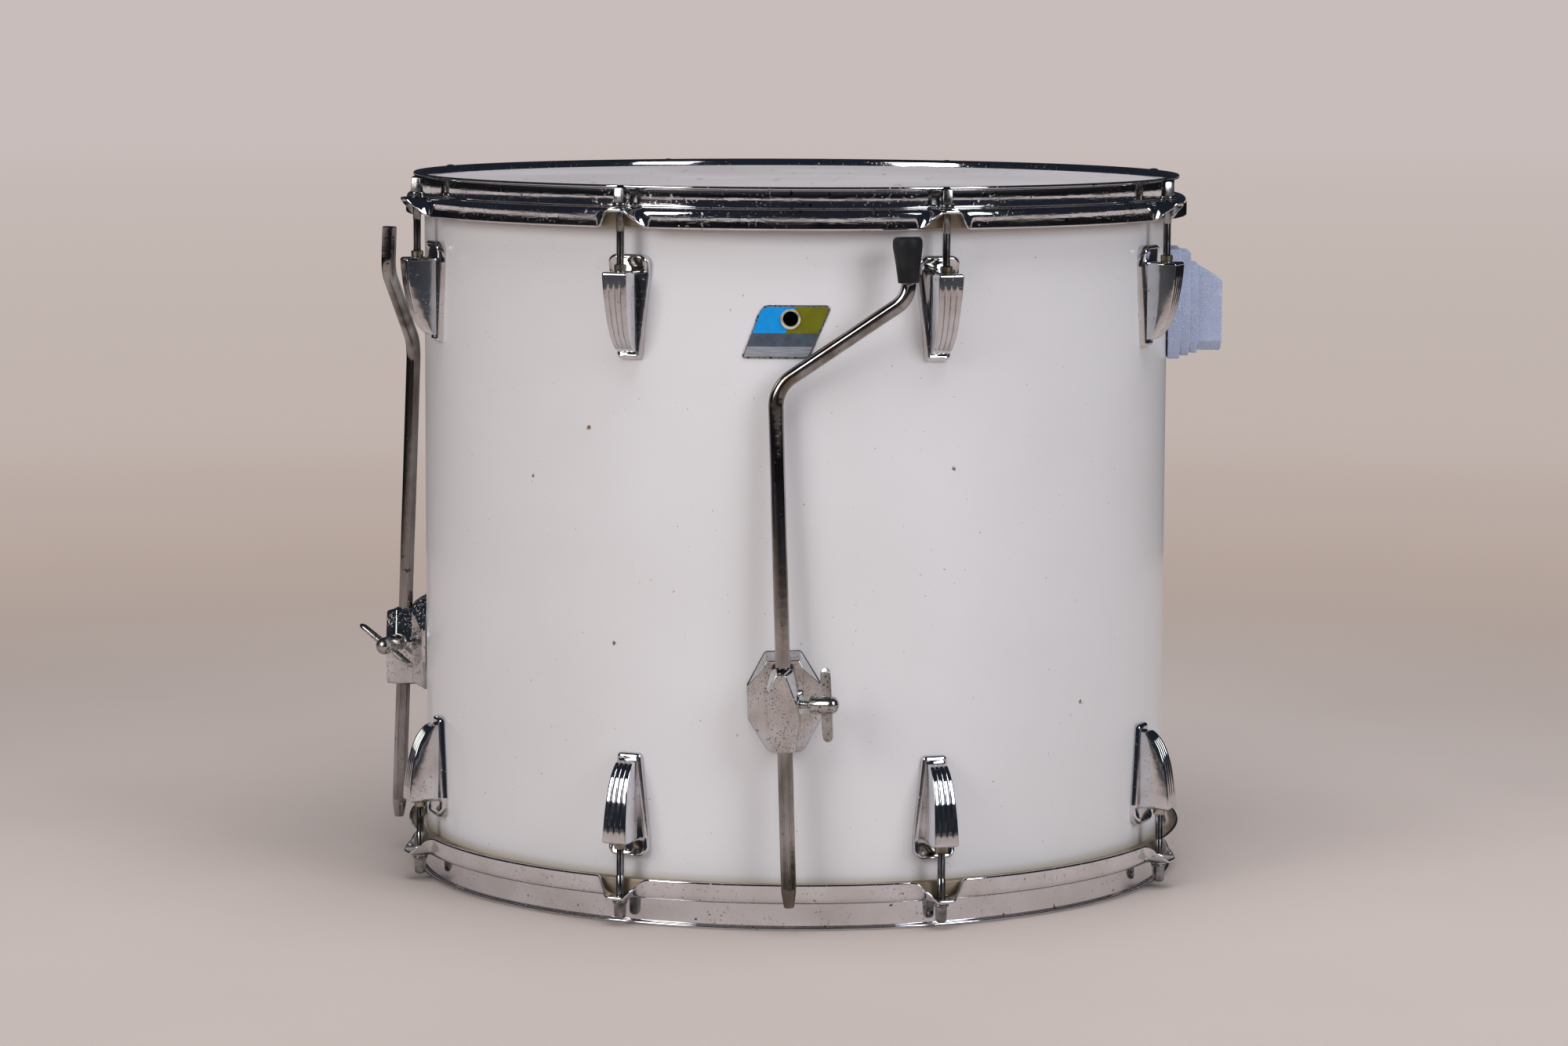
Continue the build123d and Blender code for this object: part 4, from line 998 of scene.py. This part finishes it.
flange = octagon(47.0, 64.0, 22.0, 23.0)
flange_top = octagon(45.4, 62.4, 21.4, 22.4)
bevel_top = octagon(32.4, 58.0, 34.0, 22.6)
dome_edge = octagon(25.0, 53.0, 43.0, 20.0)
body_foot = [(-6.4, -29.4), (6.8, -29.4), (10.4, -12.0), (10.4, 0.5), (6.4, 23.0), (-7.0, 23.0),
             (-10.4, 11.0), (-10.4, -15.5)]
body_face = [(-5.6, -29.0), (6.0, -29.0), (9.4, -10.5), (9.4, -0.8), (1.9, 20.6), (-4.0, 20.6),
             (-9.8, 9.5), (-9.8, -15.6)]
for place_name, (angle, tilt, slide, bolt_turn, tipped) in leg_places.items():
    base = radial_loft([(250.6, flange, 2.5), (253.2, flange, 2.5), (253.9, flange_top, 2.2),
                        (257.8, bevel_top, 1.6), (261.4, dome_edge, 1.2)], 3)
    body = radial_loft([(256.0, body_foot, 2.2), (272.5, body_foot, 2.2), (275.6, [
        (0.5 * a[0] + 0.5 * b[0], 0.4 * a[1] + 0.6 * b[1]) for a, b in zip(body_foot, body_face)], 2.4),
        (279.1, body_face, 2.6), (279.6, [(s * 0.93, z * 0.98) for s, z in body_face], 2.6)], 4)
    x, y, z, origin = leg_frame(0, tilt)
    out = x * cos(bolt_slant) - y * sin(bolt_slant)
    boss = rod_shape(origin, origin + out * 12.0, 6.2, 40)
    lean = Matrix.Rotation(radians(tilt), 3, "X")
    middle = Vector((0, 0, bracket_z))
    shapes = []
    for shape_points, shape_faces in (base, body):
        shapes.append(([tuple(lean @ Vector(p) + middle) for p in shape_points], shape_faces))
    shapes.append(boss)
    points, faces = joined(shapes)
    spin = Matrix.Rotation(radians(angle), 3, "Z")
    points = [tuple(spin @ Vector(p)) for p in points]
    bracket = piece(f"{place_name}_bracket_casting", (points, faces), pitted_chrome,
                    [f"{place_name}_leg_bracket"], sharp=24.0)
    rounded(bracket, 1.0, 3, 20.0)
    x, y, z, origin = leg_frame(angle, tilt)
    drilled(bracket, rod_shape(origin - z * 60, origin + z * 60, leg_radius + leg_play, 56), 28.0)
    even_shading(bracket)


# ---------------------------------------------------------------------------
# Clamp bolts.  Plated steel: a threaded stud, a round-ended barrel and a flat
# T-bar through it, one in each leg bracket and one in the arm block.
# ---------------------------------------------------------------------------
nickel, tree, shader, place = finish("bolt_nickel", (192, 188, 180), 1.0, 0.22)
specks = cloud(tree, place, 620.0, 0.6, 0.65, 2.0)
dull = cloud(tree, place, 90.0, 0.38, 0.68)
shade = mixed(tree, dull, (194, 193, 193), (162, 158, 152))
tinted(tree, shader, specks, shade, (72, 64, 56))
dulled(tree, shader, dull, 0.15, 0.38)
height = worked(tree, "MULTIPLY_ADD", specks, -0.7, dull)
relief(tree, shader, height, 0.06)


def thumb_bolt():
    """The bolt about its own axis z, its T-bar along y."""
    stud = threaded(6.2, 18.9, 3.0, 2.5, 1.41)
    core = lathe([(1.9, 5.06), (2.5, 5.8), (2.5, 19.2)], 24)
    barrel = [(1.0, 18.6), (5.2, 18.6), (5.55, 18.85), (5.75, 19.3), (5.75, 31.6)]
    barrel += [(5.75 * cos(radians(a)), 31.6 + 5.0 * sin(radians(a))) for a in range(10, 90, 10)]
    barrel.append((0.25, 36.6))
    loops = []
    for share in (-1.0, -0.985, -0.94, -0.85, -0.6, -0.3, 0.0, 0.3, 0.6, 0.85, 0.94, 0.985, 1.0):
        reach = abs(share)
        close = max(0.0, 1 - max(0.0, (reach - 0.85) / 0.15) ** 2.6) ** 0.5
        wide = (7.2 - 1.0 * reach) / 2 * max(close, 0.35)
        thick = (3.2 - 0.5 * reach) / 2 * max(close, 0.45)
        corners = [(-wide, -thick), (wide, -thick), (wide, thick), (-wide, thick)]
        loops.append([(x, 23.5 * share, 28.6 + z)
                      for z, x in outline(corners, [min(thick, wide) * 0.62] * 4, 0.0, 4)])
    return joined([stud, core, lathe(barrel, 48), loft(loops)])


bolt = thumb_bolt()
for place_name, (angle, tilt, slide, bolt_turn, tipped) in leg_places.items():
    x, y, z, origin = leg_frame(angle, tilt)
    out = (x * cos(bolt_slant) - y * sin(bolt_slant)).normalized()
    bar = Matrix.Rotation(radians(bolt_turn), 3, out) @ z
    name = f"{place_name}_clamp_bolt"
    piece(f"{name}_and_bar", bolt, nickel, [name], name,
          axes_frame(bar.cross(out), bar, out, origin), 40.0)
arm_axis, arm_bolt_z, arm_bolt_out = 276.0, 380.0, 24.0 - 18.6
out, bar = Vector((0, 1, 0)), Vector((0, 0, 1))
piece("tom_arm_bolt_and_bar", bolt, nickel, ["tom_arm_clamp_bolt"],
      "tom_arm_clamp_bolt",
      axes_frame(bar.cross(out), bar, out, (arm_axis, arm_bolt_out, arm_bolt_z)), 40.0)


# ---------------------------------------------------------------------------
# Legs.  Round steel bar, splined and tapered at its lower end and bent twice
# at its upper end, the chrome long dulled; stored with the crank upwards.
# ---------------------------------------------------------------------------
leg_steel, tree, shader, place = finish("leg_steel", (150, 146, 144), 1.0, 0.12)
tarnish = cloud(tree, place, 55.0, 0.36, 0.66, 5.0, (1.0, 1.0, 0.35))
specks = cloud(tree, place, 330.0, 0.70, 0.74, 2.0)
shade = mixed(tree, tarnish, (176, 173, 173), (108, 100, 92))
tinted(tree, shader, specks, shade, (74, 64, 54))
dulled(tree, shader, tarnish, 0.05, 0.16)
drawn = noise(tree, place, 200.0)
height = worked(tree, "MULTIPLY_ADD", specks, -0.6, drawn)
relief(tree, shader, height, 0.05)


def bent_line(corners, radii, steps=18):
    """Points along straight runs joined by round bends, in one plane."""
    line = [Vector(corners[0])]
    for i in range(1, len(corners) - 1):
        before = (Vector(corners[i]) - Vector(corners[i - 1])).normalized()
        after = (Vector(corners[i + 1]) - Vector(corners[i])).normalized()
        turn = atan2(before.x * after.y - before.y * after.x, before.dot(after))
        start = Vector(corners[i]) - before * radii[i - 1] * tan(abs(turn) / 2)
        side = Vector((-before.y, before.x)) * (1 if turn > 0 else -1)
        centre = start + side * radii[i - 1]
        for k in range(steps + 1):
            line.append(centre + Matrix.Rotation(turn * k / steps, 2) @ (start - centre))
    return line + [Vector(corners[-1])]


spline_count, leg_sides, crank_reach, leg_end = 36, 144, 85.0, 281.7
leg_tip, taper, spline_from, spline_to = -128.8, 10.5, -117.0, -30.0
leg_line = [(leg_tip, 2.7), (leg_tip + 0.6, 3.3), (leg_tip + taper, leg_radius)]


def cranked_leg():
    """The leg in its own frame, one row of points for each station along it."""
    corners = [(0, leg_tip), (0, 198.2), (crank_reach, 252.2), (crank_reach, leg_end)]
    line = bent_line(corners, (22.0, 17.0))
    rows = [(Vector((0, w)), r) for w, r in leg_line]
    rows += [(Vector((0, w)), leg_radius)
             for w in (spline_from, spline_from + 1, -75, spline_to - 1, spline_to)]
    rows += [(p, leg_radius) for p in line[1:-1]]
    rows.append((Vector((crank_reach, leg_end - 0.5)), leg_radius))
    rows.append((Vector((crank_reach, leg_end)), leg_radius - 0.5))
    points = []
    for i, (p, radius) in enumerate(rows):
        ahead_point, behind = rows[min(i + 1, len(rows) - 1)][0], rows[max(i - 1, 0)][0]
        along = (ahead_point - behind).normalized()
        side = Vector((along.y, -along.x))
        splined = abs(p.x) < 0.01 and spline_from < p.y < spline_to
        for k in range(leg_sides):
            a = 2 * pi * k / leg_sides
            cut = 0.28 * (0.5 - 0.5 * cos(spline_count * a)) if splined else 0.0
            q = p + side * (radius - cut) * cos(a)
            points.append((q.x, (radius - cut) * sin(a), q.y))
    return points, capped(len(rows), leg_sides)


rubber, tree, shader, place = finish("foot_rubber", (24, 25, 29), 0.0, 0.55, specular=0.25)
bloom = cloud(tree, place, 60.0, 0.4, 0.72)
tinted(tree, shader, bloom, (20, 21, 25), (38, 37, 39))
grit = noise(tree, place, 900.0)
relief(tree, shader, grit, 0.08)

leg = cranked_leg()
foot_section = [(4.8, 261.8), (5.2, 261.6), (6.3, 261.6), (6.6, 262.1), (7.6, 272.0), (8.9, 281.5),
                (9.3, 283.6), (9.3, 286.6), (9.05, 288.2), (8.3, 289.5), (6.8, 290.1), (3.0, 290.2),
                (0.2, 290.2), (0.2, 282.2), (4.8, 282.2)]
leg_turn = radians(-6.0)
for place_name, (angle, tilt, slide, bolt_turn, tipped) in leg_places.items():
    x, y, z, origin = leg_frame(angle, tilt)
    own_x = x * cos(leg_turn) + y * sin(leg_turn)
    own_y = z.cross(own_x)
    own = axes_frame(own_x, own_y, z, origin + z * slide)
    name = f"{place_name}_leg"
    piece(f"{name}_bar", leg, leg_steel, [f"{name}_shank", f"{name}_crank"], name, own, 28.0)
    if tipped:
        foot = shifted(tube(foot_section, 56), crank_reach, 0, 0)
        piece(f"{place_name}_rubber_foot", foot, rubber, [f"{place_name}_rubber_tip"],
              name, own, 50.0)


# ---------------------------------------------------------------------------
# Tom arm block.  A sand-textured casting in four steps, screwed to the shell
# and bored from top to bottom for the arm.
# ---------------------------------------------------------------------------
casting, tree, shader, place = finish("cast_block", (178, 188, 216), 0.2, 0.5)
sand = node(tree, "ShaderNodeTexNoise",
            {"Vector": place, "Scale": 1100.0, "Detail": 3.0, "Roughness": 0.7})
grainy = stepped(tree, sand.outputs[0], 0.38, 0.66)
patch = cloud(tree, place, 60.0, 0.35, 0.7)
shade = mixed(tree, grainy, (160, 171, 202), (200, 209, 233))
darker = worked(tree, "MULTIPLY", patch, 0.35)
tinted(tree, shader, darker, shade, (140, 148, 172))
dulled(tree, shader, grainy, 0.34, 0.5)
relief(tree, shader, grainy, 0.12)

block_low, block_tall, draft_z, arm_bore = 345.9, 73.5, 357.6, 6.5
steps_of_block = ((8.6, 28.0, 0.0, 0.0), (6.3, 26.0, 2.0, 2.1), (5.6, 24.0, 10.3, 3.8),
                  (15.8, 21.0, 12.4, 5.6))
inner, shapes = 250.9, []
for index, (thick, half, drop, rise) in enumerate(steps_of_block):
    outer = inner + thick + (0.1 if index == 0 else 0.0)
    low, high = block_low + rise, block_low + block_tall - drop
    back = inner - (0.35 if index else 0.0)
    levels = [(low, outer - 0.8, half - 3.4), (draft_z, outer, half)]
    if index == 3:
        levels += [(high - 8.5, outer, half - 0.4), (high, inner + 1.5, half - 0.8)]
    else:
        levels += [(high, outer, half - 0.6)]
    loops = []
    for z, face, wide in levels:
        loops.append([(back, -wide, z), (face, -wide, z), (face, wide, z), (back, wide, z)])
    inner = outer
    shapes.append(loft(loops))
points, faces = joined(shapes)
points = [(max(px, (shell_radius ** 2 - py ** 2) ** 0.5 if px < 251.5 else px), py, pz)
          for px, py, pz in points]
block = piece("arm_block_casting", (points, faces), casting, ["tom_arm_block"], sharp=24.0)
rounded(block, 0.7, 3, 24.0)
drilled(block, rod_shape((arm_axis, 0, 340), (arm_axis, 0, 425), arm_bore, 64), 28.0)
even_shading(block)
